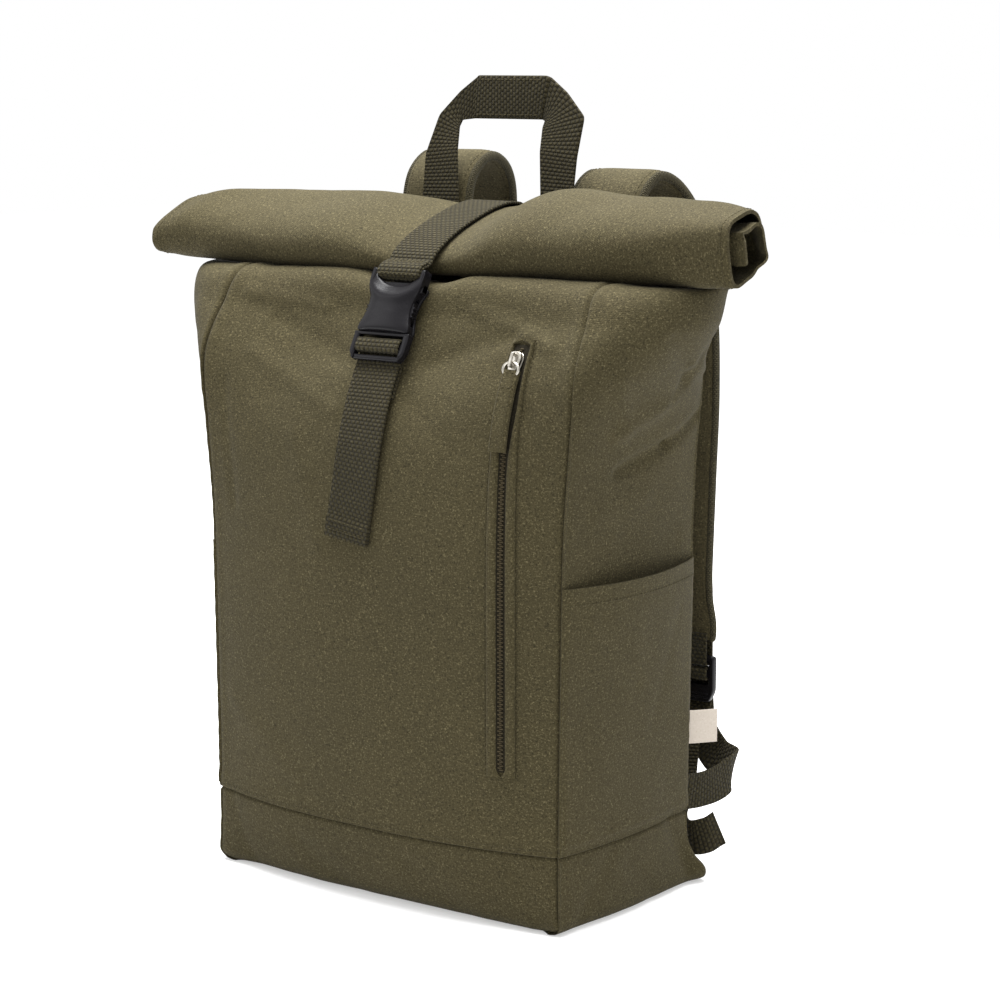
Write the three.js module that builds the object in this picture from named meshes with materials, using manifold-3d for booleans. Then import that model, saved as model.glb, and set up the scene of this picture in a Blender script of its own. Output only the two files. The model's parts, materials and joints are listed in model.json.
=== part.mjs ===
// Rolltop backpack in cotton canvas with webbing straps and a side release buckle.
// Millimetres, +Z up, front towards -Y, origin on the floor under the middle of the base.
import * as THREE from 'three';
import { mergeVertices } from 'three/addons/utils/BufferGeometryUtils.js';
import Module from 'manifold-3d';

const wasm = await Module();
wasm.setup();

// Driving dimensions of the bag
const bodyWidth = 290;
const bodyDepth = 156;
const mouthHeight = 398;
const mouthLength = 416;
const frontBulge = 22;
const backBulge = 4;
const clothWall = 2;
const baseWall = 2;
const seamGap = 0.44;
const restGap = 0.3;

// Rolled mouth
const rollLength = 470;
const rollDepth = 100;
const rollHeight = 52;
const rollSquareness = 0.86;
const rollTurns = 1.7;
const rollWallShare = 0.17;
const rollPitchShare = 0.27;
const rollStart = -50;
const rollSteps = 30;

// Side pockets
const pocketTop = 0.555 * mouthHeight;
const pocketWall = 1.5;
const pocketMouthGap = 9;
const pocketEdgeShare = 0.02;
const pocketSeamShare = 0.004;

// Webbing
const strapWidth = 35;
const strapThick = 2;
const adjusterWidth = 25;
const adjusterThick = 1.6;
const hemLength = 14;

// Closure strap and buckle
const buckleLength = 62;
const buckleTilt = 28;
const buckleHeight = 0.94 * mouthHeight;
const buckleWidth = 43;
const buckleThick = 11;
const frameThick = 6;
const barThick = 4;
const barLength = 4.5;
const slotLength = 4.2;
const prongThick = 5;
const tailLength = 87;
const anchorDrop = 20;
const fitGap = 0.35;
const buckleSlack = 2.4;
const tailDrift = -8;
const strapAngles = [12, 38, 62, 84, 104, 124, 142, 158];

// Grab handle
const handleSpread = 98;
const handleHeight = mouthHeight + 130;
const handleShift = -12.5;
const handleLean = 12;
const strapEnd = 0.935 * mouthHeight;

// Shoulder straps
const shoulderWidth = 58;
const shoulderThick = 9;
const shoulderSpread = 140;
const shoulderTops = { right: mouthHeight + 70, left: mouthHeight + 80 };
const shoulderReaches = { right: 62, left: 72 };

// Strap adjusters
const lockWidth = 34;
const lockHeight = 32;
const lockThick = 5;
const lockLip = 4;
const lockSide = 105;
const lockCentre = 0.312 * mouthHeight;
const webbingHeight = 0.156 * mouthHeight;
const loopReach = 40;
const tailReach = 40;
const tailDrop = 0.256 * mouthHeight;
const tabClearance = 1.5;
const seamClearance = 0.9;

// Zip of the front pocket
const zipSide = 106;
const zipLow = 0.259 * mouthHeight;
const zipHigh = 0.92 * mouthHeight;
const zipTapeWidth = 13;
const zipTapeThick = 0.8;
const zipSeat = 0.6;
const zipTeethWidth = 4.5;
const zipTeethThick = 1.4;
const sliderLength = 11;
const sliderWidth = 8.5;
const sliderThick = 4;
const bridgeShare = 0.7;
const bridgeWide = 2;
const bridgeRoof = 1;
const bridgeLeg = 1.5;
const wireRadius = 0.9;
const ringRadius = 5.2;
const pullerLength = 50;
const pullerWidth = 12;
const pullerThick = 3;
const pullerDrift = -3;

// Label
const labelLow = 96;
const labelHeight = 22;
const labelWidth = 20;
const labelThick = 1.2;
const labelTurn = 38;
const labelStart = 0.6;

const halfWidth = bodyWidth / 2;
const halfDepth = bodyDepth / 2;
const flare = mouthLength / 2 - halfWidth;

// Rows of numbers read by the names of their columns
function table(columns, rows) {
  return rows.map((row) => Object.fromEntries(columns.map((column, i) => [column, row[i]])));
}

// Body sections from the floor to the mouth. up, upSide and upBack are shares of mouthHeight,
// front and back of halfDepth, bulge of frontBulge, hollow of backBulge, corner of halfWidth,
// side of flare, drift of halfDepth, sway of halfWidth; fold is the power that shapes the gusset.
const bodyRows = table([
  'up', 'upSide', 'upBack', 'front', 'bulge', 'corner', 'side', 'back', 'hollow', 'drift', 'fold', 'sway',
], [
  [0.000, 0.000, 0.000,  1.000,  0.10, 0.985, 0.02, 1.040, 0.0,  0.00, 2.0,  0.000],
  [0.035, 0.035, 0.035,  1.012,  0.45, 0.982, 0.03, 0.905, 0.2,  0.00, 2.0,  0.000],
  [0.075, 0.075, 0.075,  1.012,  0.72, 0.980, 0.04, 0.835, 0.5,  0.00, 2.0,  0.000],
  [0.131, 0.131, 0.131,  1.012,  0.90, 0.980, 0.05, 0.808, 0.8,  0.00, 2.0,  0.000],
  [0.280, 0.280, 0.280,  1.012,  1.00, 0.984, 0.05, 0.810, 1.0,  0.00, 2.0,  0.000],
  [0.450, 0.450, 0.450,  1.012,  1.00, 0.990, 0.05, 0.820, 1.0,  0.00, 2.0,  0.000],
  [0.620, 0.620, 0.620,  1.015,  0.92, 1.000, 0.08, 0.808, 1.0,  0.00, 2.0,  0.000],
  [0.750, 0.750, 0.750,  1.025,  0.62, 1.028, 0.17, 0.785, 0.7, -0.02, 1.9, -0.005],
  [0.830, 0.830, 0.830,  1.030,  0.10, 1.048, 0.36, 0.785, 0.4, -0.04, 1.7, -0.010],
  [0.885, 0.885, 0.890,  0.995, -0.40, 1.046, 0.62, 0.765, 0.2, -0.06, 1.5, -0.020],
  [0.948, 0.946, 0.950,  0.830, -0.35, 1.028, 0.90, 0.750, 0.0, -0.08, 1.3, -0.025],
  [1.001, 0.990, 1.000,  0.590, -0.02, 1.005, 0.99, 0.740, 0.0, -0.10, 1.1, -0.032],
  [0.992, 1.002, 1.020, -0.100,  0.00, 1.000, 1.00, 0.700, 0.0, -0.16, 1.0, -0.034],
]);
const bandRow = 3 / (bodyRows.length - 1);

// Roll sections from left to right. along is a share of half the rollLength, forward and depth of
// half the rollDepth, up of rollHeight above the mouth, height of half the rollHeight, tilt degrees.
const rollRows = table(['along', 'forward', 'up', 'depth', 'height', 'tilt'], [
  [-1.000,  0.36, 0.545, 0.50, 0.70, 33],
  [-0.930,  0.24, 0.555, 0.62, 0.82, 27],
  [-0.780,  0.08, 0.545, 0.80, 0.83, 22],
  [-0.550,  0.00, 0.525, 0.98, 0.87, 18],
  [-0.300, -0.04, 0.525, 1.06, 0.87, 16],
  [-0.085, -0.06, 0.450, 1.06, 0.62, 19],
  [ 0.085, -0.06, 0.450, 1.06, 0.62, 19],
  [ 0.260, -0.04, 0.575, 1.04, 0.99, 16],
  [ 0.500, -0.04, 0.588, 0.98, 1.03, 15],
  [ 0.740, -0.02, 0.572, 0.80, 1.00, 15],
  [ 0.900,  0.04, 0.560, 0.56, 0.93, 15],
  [ 0.960,  0.12, 0.560, 0.42, 0.90, 15],
]);

// Grab handle from the back to the top of the arch. left and right are shares of half the
// handleSpread to the outer edges, up of the arch height, the same with In for the inner edges,
// and lean is a share of handleLean.
const handleRows = table(['up', 'left', 'right', 'upIn', 'leftIn', 'rightIn', 'lean'], [
  [0.00, 1.30, 1.25, 0.000, 0.68, 0.74, 0.00],
  [0.24, 1.30, 1.25, 0.240, 0.68, 0.74, 0.00],
  [0.47, 1.31, 1.25, 0.470, 0.69, 0.73, 0.10],
  [0.66, 1.30, 1.28, 0.680, 0.75, 0.67, 0.35],
  [0.83, 1.11, 1.35, 0.780, 0.77, 0.66, 0.65],
  [0.93, 0.79, 1.03, 0.808, 0.75, 0.67, 0.85],
  [1.00, 0.48, 0.70, 0.815, 0.55, 0.60, 1.00],
  [1.00, 0.16, 0.20, 0.815, 0.16, 0.20, 1.00],
]);

// Shoulder strap route. across is a share from the top spread to the lock, reach of
// shoulderReach behind the back, height a share of the top, width and thick of their sizes.
const shoulderRows = table(['across', 'reach', 'height', 'width', 'thick'], [
  [0.00, 0.000, 0.800, 1.00, 0.70],
  [0.00, 0.000, 0.860, 1.00, 0.85],
  [0.00, 0.020, 0.915, 1.00, 1.00],
  [0.00, 0.120, 0.965, 1.00, 1.00],
  [0.04, 0.400, 0.990, 1.00, 1.00],
  [0.14, 0.720, 0.970, 1.00, 1.00],
  [0.35, 0.950, 0.910, 1.00, 1.00],
  [0.50, 1.060, 0.800, 1.00, 1.00],
  [0.54, 1.080, 0.680, 1.00, 1.00],
  [0.55, 1.050, 0.560, 0.97, 1.00],
  [0.61, 1.010, 0.450, 0.90, 0.95],
  [0.80, 0.990, 0.385, 0.72, 0.85],
  [1.00, 0.985, 0.345, 0.58, 0.78],
  [1.00, 0.985, 0.325, 0.56, 0.75],
]);

const colours = {
  canvas: { color: 0x5b543d, roughness: 0.95, metalness: 0 },
  webbing: { color: 0x4c4732, roughness: 0.95, metalness: 0 },
  strapCloth: { color: 0x4a4431, roughness: 0.95, metalness: 0 },
  blackPlastic: { color: 0x1b1a1c, roughness: 0.35, metalness: 0 },
  zipCoil: { color: 0x2b2620, roughness: 0.6, metalness: 0 },
  zipTape: { color: 0x3b3527, roughness: 0.9, metalness: 0 },
  silverMetal: { color: 0xc8c4b8, roughness: 0.25, metalness: 1 },
  creamLabel: { color: 0xe9dfcf, roughness: 0.85, metalness: 0 },
};

const materials = {};
for (const [name, look] of Object.entries(colours)) {
  materials[name] = new THREE.MeshStandardMaterial({ name, ...look });
}

const backpack = new THREE.Group();

function addMesh(name, geometry, material, parent = backpack) {
  const mesh = new THREE.Mesh(geometry, material);
  mesh.name = name;
  parent.add(mesh);
  return mesh;
}

// Smooth reading of a table of named columns at a position from 0 to 1
function readRows(rows, position) {
  const last = rows.length - 1;
  const place = Math.min(Math.max(position, 0), 1) * last;
  const index = Math.min(Math.floor(place), last - 1);
  const t = place - index;
  const result = {};
  for (const key of Object.keys(rows[0])) {
    const p1 = rows[index][key];
    const p2 = rows[index + 1][key];
    const p0 = index > 0 ? rows[index - 1][key] : 2 * p1 - p2;
    const p3 = index + 2 <= last ? rows[index + 2][key] : 2 * p2 - p1;
    const bend = 2 * p0 - 5 * p1 + 4 * p2 - p3;
    const twist = 3 * p1 - p0 - 3 * p2 + p3;
    result[key] = p1 + 0.5 * t * (p2 - p0 + t * (bend + t * twist));
  }
  return result;
}

// One closed body from rings of points. Each ring lists its outer edge, then its inner edge
// backwards, so that both ends are capped by strips.
function bodyFromRings(rings) {
  const count = rings[0].length;
  const positions = rings.flat().flatMap((p) => [p.x, p.y, p.z]);
  const index = [];
  for (let i = 0; i < rings.length - 1; i += 1) {
    for (let j = 0; j < count; j += 1) {
      const a = i * count + j;
      const b = i * count + ((j + 1) % count);
      index.push(a, b, b + count, a, b + count, a + count);
    }
  }
  for (let j = 0; j < count / 2 - 1; j += 1) {
    const strip = [j, j + 1, count - 2 - j, count - 1 - j];
    const end = strip.map((k) => k + (rings.length - 1) * count);
    index.push(strip[0], strip[2], strip[1], strip[0], strip[3], strip[2]);
    index.push(end[0], end[1], end[2], end[0], end[2], end[3]);
  }
  if (signedVolume(positions, index) < 0) {
    index.reverse();
  }
  const geometry = new THREE.BufferGeometry();
  geometry.setAttribute('position', new THREE.Float32BufferAttribute(positions, 3));
  geometry.setIndex(index);
  return geometry;
}

function signedVolume(positions, index) {
  const corner = (k) => new THREE.Vector3().fromArray(positions, 3 * k);
  let volume = 0;
  for (let i = 0; i < index.length; i += 3) {
    const [a, b, c] = [corner(index[i]), corner(index[i + 1]), corner(index[i + 2])];
    volume += a.dot(b.cross(c)) / 6;
  }
  return volume;
}

// Sections across a strap, as shares of half its width and half its thickness
const flatSection = [[-1, 1], [1, 1], [1, -1], [-1, -1]];
const paddedSection = [
  [-1, 0.3], [-0.86, 0.75], [-0.5, 1], [0.5, 1], [0.86, 0.75], [1, 0.3],
  [1, -0.3], [0.86, -0.75], [0.5, -1], [-0.5, -1], [-0.86, -0.75], [-1, -0.3],
];

// A strap swept through stations that hold a centre, the direction across, and its sizes
function sweepStrap(stations, section) {
  const rings = stations.map((station, i) => {
    const before = stations[Math.max(i - 1, 0)].centre;
    const after = stations[Math.min(i + 1, stations.length - 1)].centre;
    const along = after.clone().sub(before).normalize();
    const out = new THREE.Vector3().crossVectors(along, station.across).normalize();
    const across = new THREE.Vector3().crossVectors(out, along).normalize();
    return section.map(([a, b]) => station.centre.clone()
      .addScaledVector(across, a * station.halfWidth)
      .addScaledVector(out, b * station.halfThick));
  });
  return bodyFromRings(rings);
}

function solidOf(geometry) {
  const plain = geometry.clone();
  plain.deleteAttribute('normal');
  plain.deleteAttribute('uv');
  const merged = mergeVertices(plain);
  return new wasm.Manifold(new wasm.Mesh({
    numProp: 3,
    vertProperties: new Float32Array(merged.attributes.position.array),
    triVerts: new Uint32Array(merged.index.array),
  }));
}

function geometryOf(solid) {
  const mesh = solid.getMesh();
  const geometry = new THREE.BufferGeometry();
  geometry.setAttribute('position', new THREE.BufferAttribute(mesh.vertProperties, 3));
  geometry.setIndex(new THREE.BufferAttribute(mesh.triVerts, 1));
  return geometry;
}

function boxSolid(width, depth, height, x, y, z) {
  return solidOf(new THREE.BoxGeometry(width, depth, height).translate(x, y, z));
}

// Body surface: panels in turn round the bag, s from 0 to 1 along each, v from floor to mouth
const panels = ['front', 'right', 'back', 'left'];
const bulgePower = 2.4;

function bodyPoint(panel, s, v) {
  const row = readRows(bodyRows, v);
  const cornerX = row.corner * halfWidth;
  const frontY = -row.front * halfDepth;
  const backY = row.back * halfDepth;
  const frontZ = row.up * mouthHeight;
  const backZ = row.upBack * mouthHeight;
  const swell = 1 - Math.abs(2 * s - 1) ** bulgePower;
  if (panel === 'front') {
    return new THREE.Vector3((2 * s - 1) * cornerX, frontY - row.bulge * frontBulge * swell, frontZ);
  }
  if (panel === 'back') {
    return new THREE.Vector3((1 - 2 * s) * cornerX, backY + row.hollow * backBulge * swell, backZ);
  }
  const turn = (s - 0.5) * Math.PI * (panel === 'right' ? 1 : -1);
  const lift = Math.cos(turn);
  const share = (1 + Math.sin(turn)) / 2;
  const sideX = halfWidth + row.side * flare;
  const x = cornerX + (sideX - cornerX) * Math.max(lift, 0) ** row.fold;
  const y = frontY + (backY - frontY) * share + row.drift * halfDepth * lift;
  const middle = (frontZ + backZ) / 2;
  const z = frontZ + (backZ - frontZ) * share + (row.upSide * mouthHeight - middle) * lift;
  const sway = row.sway * halfWidth * lift;
  return new THREE.Vector3((panel === 'right' ? x : -x) + sway, y, z);
}

const reachAround = 0.05;
const reachUp = 0.02;

function bodyTangents(panel, s, v) {
  const s0 = Math.min(Math.max(s - reachAround, 0), 1 - 2 * reachAround);
  const v0 = Math.min(Math.max(v - reachUp, 0), 1 - 2 * reachUp);
  const around = bodyPoint(panel, s0 + 2 * reachAround, v).sub(bodyPoint(panel, s0, v)).normalize();
  const up = bodyPoint(panel, s, v0 + 2 * reachUp).sub(bodyPoint(panel, s, v0)).normalize();
  return { around, up, normal: new THREE.Vector3().crossVectors(around, up).normalize() };
}

// A point at a distance from the body surface, mitred where two panels meet
function offsetPoint(panel, s, v, distance, gap = 0) {
  const point = bodyPoint(panel, s, v);
  const own = bodyTangents(panel, s, v);
  const shift = own.normal.clone();
  if (s === 0 || s === 1) {
    const order = panels.indexOf(panel) + (s === 0 ? 3 : 1);
    const other = bodyTangents(panels[order % 4], 1 - s, v).normal;
    shift.add(other).divideScalar(1 + own.normal.dot(other));
    point.addScaledVector(own.around, (s === 0 ? 0.5 : -0.5) * gap);
  }
  if (v === 0) {
    shift.z = 0;
  }
  return point.addScaledVector(shift, distance);
}

// A wall between two distances from the body surface
function wallPiece(panel, across, rows, outer, inner, gap, trim = () => 0) {
  const rings = rows.map((v, i) => {
    const drop = trim(i);
    const line = (distance) => across.map((s) => {
      const at = typeof s === 'function' ? s(v) : s;
      const far = typeof distance === 'function' ? distance(at, v) : distance;
      const point = offsetPoint(panel, at, v, far, gap);
      point.z += drop;
      return point;
    });
    return [...line(outer), ...line(inner).reverse()];
  });
  return bodyFromRings(rings);
}

function steps(count, from = 0, to = 1) {
  return Array.from({ length: count + 1 }, (_, i) => from + (to - from) * (i / count));
}

// The table position of a height on the straight lower part of the bag
function rowAtHeight(height) {
  let low = 0;
  let high = 1;
  while (high - low > 1e-6) {
    const middle = (low + high) / 2;
    if (readRows(bodyRows, middle).up * mouthHeight < height) {
      low = middle;
    } else {
      high = middle;
    }
  }
  return low;
}

// Facet counts along and across the pieces
const panelSteps = { front: 12, side: 10, back: 8, base: 8, pocket: 10 };
const heightSteps = { band: 3, lower: 7, upper: 12, pocket: 6, strip: 16 };
const strapSteps = { shoulder: 24, tab: 20, webbing: 80, closure: 3 };
const ringSteps = { wire: 6, turn: 14 };
const bendRow = 7 / (bodyRows.length - 1);

function addBody() {
  const bandRows = steps(heightSteps.band, 0, bandRow);
  const upperRows = steps(heightSteps.upper, bendRow, 1).slice(1);
  const wallRows = [...steps(heightSteps.lower, bandRow, bendRow), ...upperRows];
  const names = { front: 'front', right: 'side', back: 'back', left: 'side' };
  for (const panel of panels) {
    const side = names[panel] === 'side' ? `_${panel}` : '';
    const across = steps(panelSteps[names[panel]]);
    const bandTrim = (i) => (i === bandRows.length - 1 ? -restGap / 2 : 0);
    const wallTrim = (i) => (i === 0 ? restGap / 2 : 0);
    const band = wallPiece(panel, across, bandRows, 0, -clothWall, seamGap, bandTrim);
    const wall = wallPiece(panel, across, wallRows, 0, -clothWall, seamGap, wallTrim);
    addMesh(`${names[panel]}_band${side}`, band, materials.canvas);
    addMesh(`${names[panel]}_panel${side}`, wall, materials.canvas);
  }
  const outline = [];
  const inset = -clothWall - restGap;
  const nearer = (a, b) => (Math.abs(a) < Math.abs(b) ? a : b);
  for (const panel of panels) {
    for (const s of steps(panelSteps.base).slice(0, -1)) {
      const low = offsetPoint(panel, s, 0, inset);
      const high = offsetPoint(panel, s, rowAtHeight(2 * baseWall), inset);
      outline.push(new THREE.Vector2(nearer(low.x, high.x), nearer(low.y, high.y)));
    }
  }
  const base = new THREE.ExtrudeGeometry(new THREE.Shape(outline), { depth: baseWall, bevelEnabled: false });
  addMesh('base_panel', base, materials.canvas);
}

function addPockets() {
  const low = bandRow + pocketSeamShare;
  const high = rowAtHeight(pocketTop);
  const open = (s, v) => {
    const rise = Math.max((v - low) / (high - low), 0);
    return restGap + pocketMouthGap * Math.sin(Math.PI * s) ** 2 * rise ** 3;
  };
  for (const panel of ['right', 'left']) {
    const across = steps(panelSteps.pocket, pocketEdgeShare, 1 - pocketEdgeShare);
    const rows = steps(heightSteps.pocket, low, high);
    const piece = wallPiece(panel, across, rows, (s, v) => open(s, v) + pocketWall, open, 0);
    addMesh(`side_pocket_${panel}`, piece, materials.canvas);
  }
}

// Rolled mouth: a flattened spiral of cloth, from the back edge over the top to the front
function rollAt(x) {
  const share = x / (rollLength / 2);
  let index = 0;
  while (index < rollRows.length - 2 && rollRows[index + 1].along < share) {
    index += 1;
  }
  const t = (share - rollRows[index].along) / (rollRows[index + 1].along - rollRows[index].along);
  return readRows(rollRows, (index + t) / (rollRows.length - 1));
}

function rollPoint(row, x, angle, shrink, inset) {
  const depth = row.depth * rollDepth / 2 * shrink - inset;
  const height = row.height * rollHeight / 2 * shrink - inset;
  const square = (value) => Math.sign(value) * Math.abs(value) ** rollSquareness;
  const out = depth * square(Math.cos(angle));
  const up = height * square(Math.sin(angle));
  const tilt = THREE.MathUtils.degToRad(row.tilt);
  const y = -row.forward * rollDepth / 2 + out * Math.cos(tilt) - up * Math.sin(tilt);
  const z = mouthHeight + row.up * rollHeight + out * Math.sin(tilt) + up * Math.cos(tilt);
  return new THREE.Vector3(x, y, z);
}

function addRoll() {
  const rings = rollRows.map((row) => {
    const x = row.along * rollLength / 2;
    const wall = rollWallShare * row.height * rollHeight / 2;
    const line = (inset) => steps(rollSteps, 0, rollTurns).map((turn) => {
      const angle = THREE.MathUtils.degToRad(rollStart + 360 * turn);
      return rollPoint(row, x, angle, 1 - rollPitchShare * turn, inset);
    });
    return [...line(0), ...line(wall).reverse()];
  });
  addMesh('rolled_top', bodyFromRings(rings), materials.canvas);
}

// Buckle frame: along its length and outwards from the cloth, in the middle plane of the bag
const buckleAngle = THREE.MathUtils.degToRad(buckleTilt);
const buckleStandOff = frameThick / 2 + 2 * strapThick + buckleSlack;
const buckleSeat = bodyPoint('front', 0.5, rowAtHeight(buckleHeight));
const buckleCentre = new THREE.Vector3(
  0,
  buckleSeat.y - buckleStandOff * Math.cos(buckleAngle),
  buckleSeat.z + buckleStandOff * Math.sin(buckleAngle),
);

function bucklePoint(out, along, x = 0) {
  return new THREE.Vector3(
    x,
    buckleCentre.y - out * Math.cos(buckleAngle) + along * Math.sin(buckleAngle),
    buckleCentre.z + out * Math.sin(buckleAngle) + along * Math.cos(buckleAngle),
  );
}

const buckleTop = buckleLength / 2;
const socketLow = -0.39 * buckleTop;
const plugTop = socketLow - restGap;
const socketBarLow = buckleTop - barLength;
const socketSlotLow = socketBarLow - slotLength;
const upperSlotTop = plugTop - barLength / 2;
const upperSlotLow = upperSlotTop - slotLength;
const middleBarLow = upperSlotLow - barLength;
const lowerSlotLow = middleBarLow - slotLength;

// Outline rows of the socket from top to bottom, shares of half the buckleWidth and buckleLength
const socketRows = table(['wide', 'along'], [
  [0.97,  1.00],
  [1.00,  0.93],
  [0.99,  0.60],
  [0.86,  0.42],
  [0.80,  0.20],
  [0.82,  0.00],
  [0.92, -0.22],
  [0.95, -0.39],
]);

// Parts inside the buckle: wide values are shares of buckleWidth, the others of half its length
const buckleShares = {
  frameWide: 1.03, corner: 0.1, cavityWide: 0.66, cavityTop: 0.42, windowTop: 0.38, windowLow: -0.18,
  prongWide: 0.13, prongTop: 0.32, middleProng: 0.8, button: 0.36, buttonRise: 0.1,
};

function mirroredShape(rows) {
  const edge = (side) => rows.map((row) => {
    const x = side * row.wide * buckleWidth / 2;
    return new THREE.Vector2(x, row.along * buckleTop);
  });
  return new THREE.Shape([...edge(1).reverse(), ...edge(-1)]);
}

function plate(shape, thick) {
  return new THREE.ExtrudeGeometry(shape, { depth: thick, bevelEnabled: false }).translate(0, 0, -thick / 2);
}

function buckleBody(geometry) {
  return geometry.rotateX(Math.PI / 2 - buckleAngle).translate(0, buckleCentre.y, buckleCentre.z);
}

function addBuckle() {
  const slotWide = strapWidth + 2 * fitGap;
  const wide = 2 * buckleWidth;
  const headCut = (buckleThick - frameThick) / 2;
  const cavityWide = buckleShares.cavityWide * buckleWidth;
  const cavityTop = buckleShares.cavityTop * buckleTop;
  let socket = solidOf(plate(mirroredShape(socketRows), buckleThick));
  for (const face of [-1, 1]) {
    const z = face * (buckleThick / 2 - headCut / 2);
    const cut = boxSolid(wide, 2 * (buckleTop - socketSlotLow), headCut + fitGap, 0, buckleTop, z);
    socket = socket.subtract(cut);
  }
  socket = socket.subtract(boxSolid(slotWide, slotLength, wide, 0, socketBarLow - slotLength / 2, 0));
  const thinBar = (frameThick - barThick) / 2;
  for (const face of [-1, 1]) {
    const z = face * (frameThick / 2 - thinBar / 2);
    socket = socket.subtract(boxSolid(slotWide, 3 * barLength, thinBar + fitGap, 0, buckleTop, z));
  }
  const cavityThick = prongThick + 2 * fitGap;
  socket = socket.subtract(boxSolid(cavityWide, 2 * (cavityTop - socketLow), cavityThick, 0, socketLow, 0));
  const windowTop = buckleShares.windowTop * buckleTop;
  const windowLow = buckleShares.windowLow * buckleTop;
  const windowY = (windowTop + windowLow) / 2;
  socket = socket.subtract(boxSolid(wide, windowTop - windowLow, cavityThick, 0, windowY, 0));
  addMesh('buckle_socket', buckleBody(geometryOf(socket)), materials.blackPlastic);

  const frame = new THREE.Shape();
  const frameWide = buckleShares.frameWide * buckleWidth / 2;
  const corner = buckleShares.corner * buckleWidth;
  frame.moveTo(-frameWide, plugTop);
  frame.lineTo(-frameWide, corner - buckleTop);
  frame.quadraticCurveTo(-frameWide, -buckleTop, corner - frameWide, -buckleTop);
  frame.lineTo(frameWide - corner, -buckleTop);
  frame.quadraticCurveTo(frameWide, -buckleTop, frameWide, corner - buckleTop);
  frame.lineTo(frameWide, plugTop);
  let plug = solidOf(plate(frame, frameThick));
  for (const top of [upperSlotTop, middleBarLow]) {
    plug = plug.subtract(boxSolid(slotWide, slotLength, wide, 0, top - slotLength / 2, 0));
  }
  const bars = upperSlotLow - lowerSlotLow + 2 * barLength;
  for (const face of [-1, 1]) {
    const z = face * (frameThick / 2 - thinBar / 2);
    plug = plug.subtract(boxSolid(slotWide, bars, thinBar + fitGap, 0, upperSlotLow - bars / 2, z));
  }
  const prongWide = buckleShares.prongWide * buckleWidth;
  const prongSide = cavityWide / 2 - prongWide / 2 - fitGap;
  const prongLong = buckleShares.prongTop * buckleTop - plugTop;
  for (const side of [-1, 0, 1]) {
    const long = side === 0 ? prongLong * buckleShares.middleProng : prongLong;
    const centre = plugTop - barLength / 4 + long / 2;
    plug = plug.add(boxSolid(prongWide, long + barLength / 2, prongThick, side * prongSide, centre, 0));
  }
  const button = buckleShares.button * buckleTop;
  const buttonY = buckleShares.buttonRise * buckleTop;
  for (const side of [-1, 1]) {
    const x = side * (prongSide + prongWide / 2);
    plug = plug.add(boxSolid(prongWide, button, prongThick, x, buttonY, 0));
  }
  addMesh('buckle_plug', buckleBody(geometryOf(plug)), materials.blackPlastic);
}

const acrossBag = new THREE.Vector3(1, 0, 0);
const barTurnRadius = strapThick / 2 + fitGap;
const barTurnOut = barThick / 2 + barTurnRadius;

// Strap points round one long edge of a buckle bar, from front to back; slotSide is 1 or -1
function barTurn(edge, slotSide) {
  const half = barThick / 2;
  const diagonal = barTurnRadius * Math.SQRT1_2;
  return [
    bucklePoint(half + barTurnRadius, edge),
    bucklePoint(half + diagonal, edge + slotSide * diagonal),
    bucklePoint(half, edge + slotSide * barTurnRadius),
    bucklePoint(-half, edge + slotSide * barTurnRadius),
    bucklePoint(-half - diagonal, edge + slotSide * diagonal),
    bucklePoint(-half - barTurnRadius, edge),
  ];
}

// Upper strap: from the back over the roll, round the socket bar and back as a sewn flap
function addUpperStrap() {
  const lay = strapThick / 2 + restGap;
  const row = rollAt(0);
  const onRoll = (degrees) => rollPoint(row, 0, THREE.MathUtils.degToRad(degrees), 1, -lay);
  const backSeat = backPoint(strapEnd);
  const points = [
    new THREE.Vector3(0, backSeat + lay, strapEnd),
    new THREE.Vector3(0, backSeat + lay, mouthHeight),
  ];
  for (const degrees of strapAngles) {
    points.push(onRoll(degrees));
  }
  points.push(bucklePoint(barTurnOut, buckleTop));
  points.push(...barTurn(socketBarLow, -1));
  points.push(bucklePoint(-barTurnOut, buckleTop));
  const curve = new THREE.CatmullRomCurve3(points, false, 'centripetal');
  const dense = curve.getPoints(points.length * strapSteps.closure);
  const stations = dense.map((centre) => ({
    centre, across: acrossBag, halfWidth: strapWidth / 2, halfThick: strapThick / 2,
  }));
  addMesh('closure_strap_upper', sweepStrap(stations, flatSection), materials.webbing);
}

function backPoint(height) {
  return bodyPoint('back', 0.5, rowAtHeight(height)).y;
}

// A point over the front cloth at a height, to one side of the middle
function overFront(height, distance, x = 0) {
  const v = rowAtHeight(height);
  const corner = readRows(bodyRows, v).corner * halfWidth;
  return offsetPoint('front', (x / corner + 1) / 2, v, distance);
}

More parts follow.
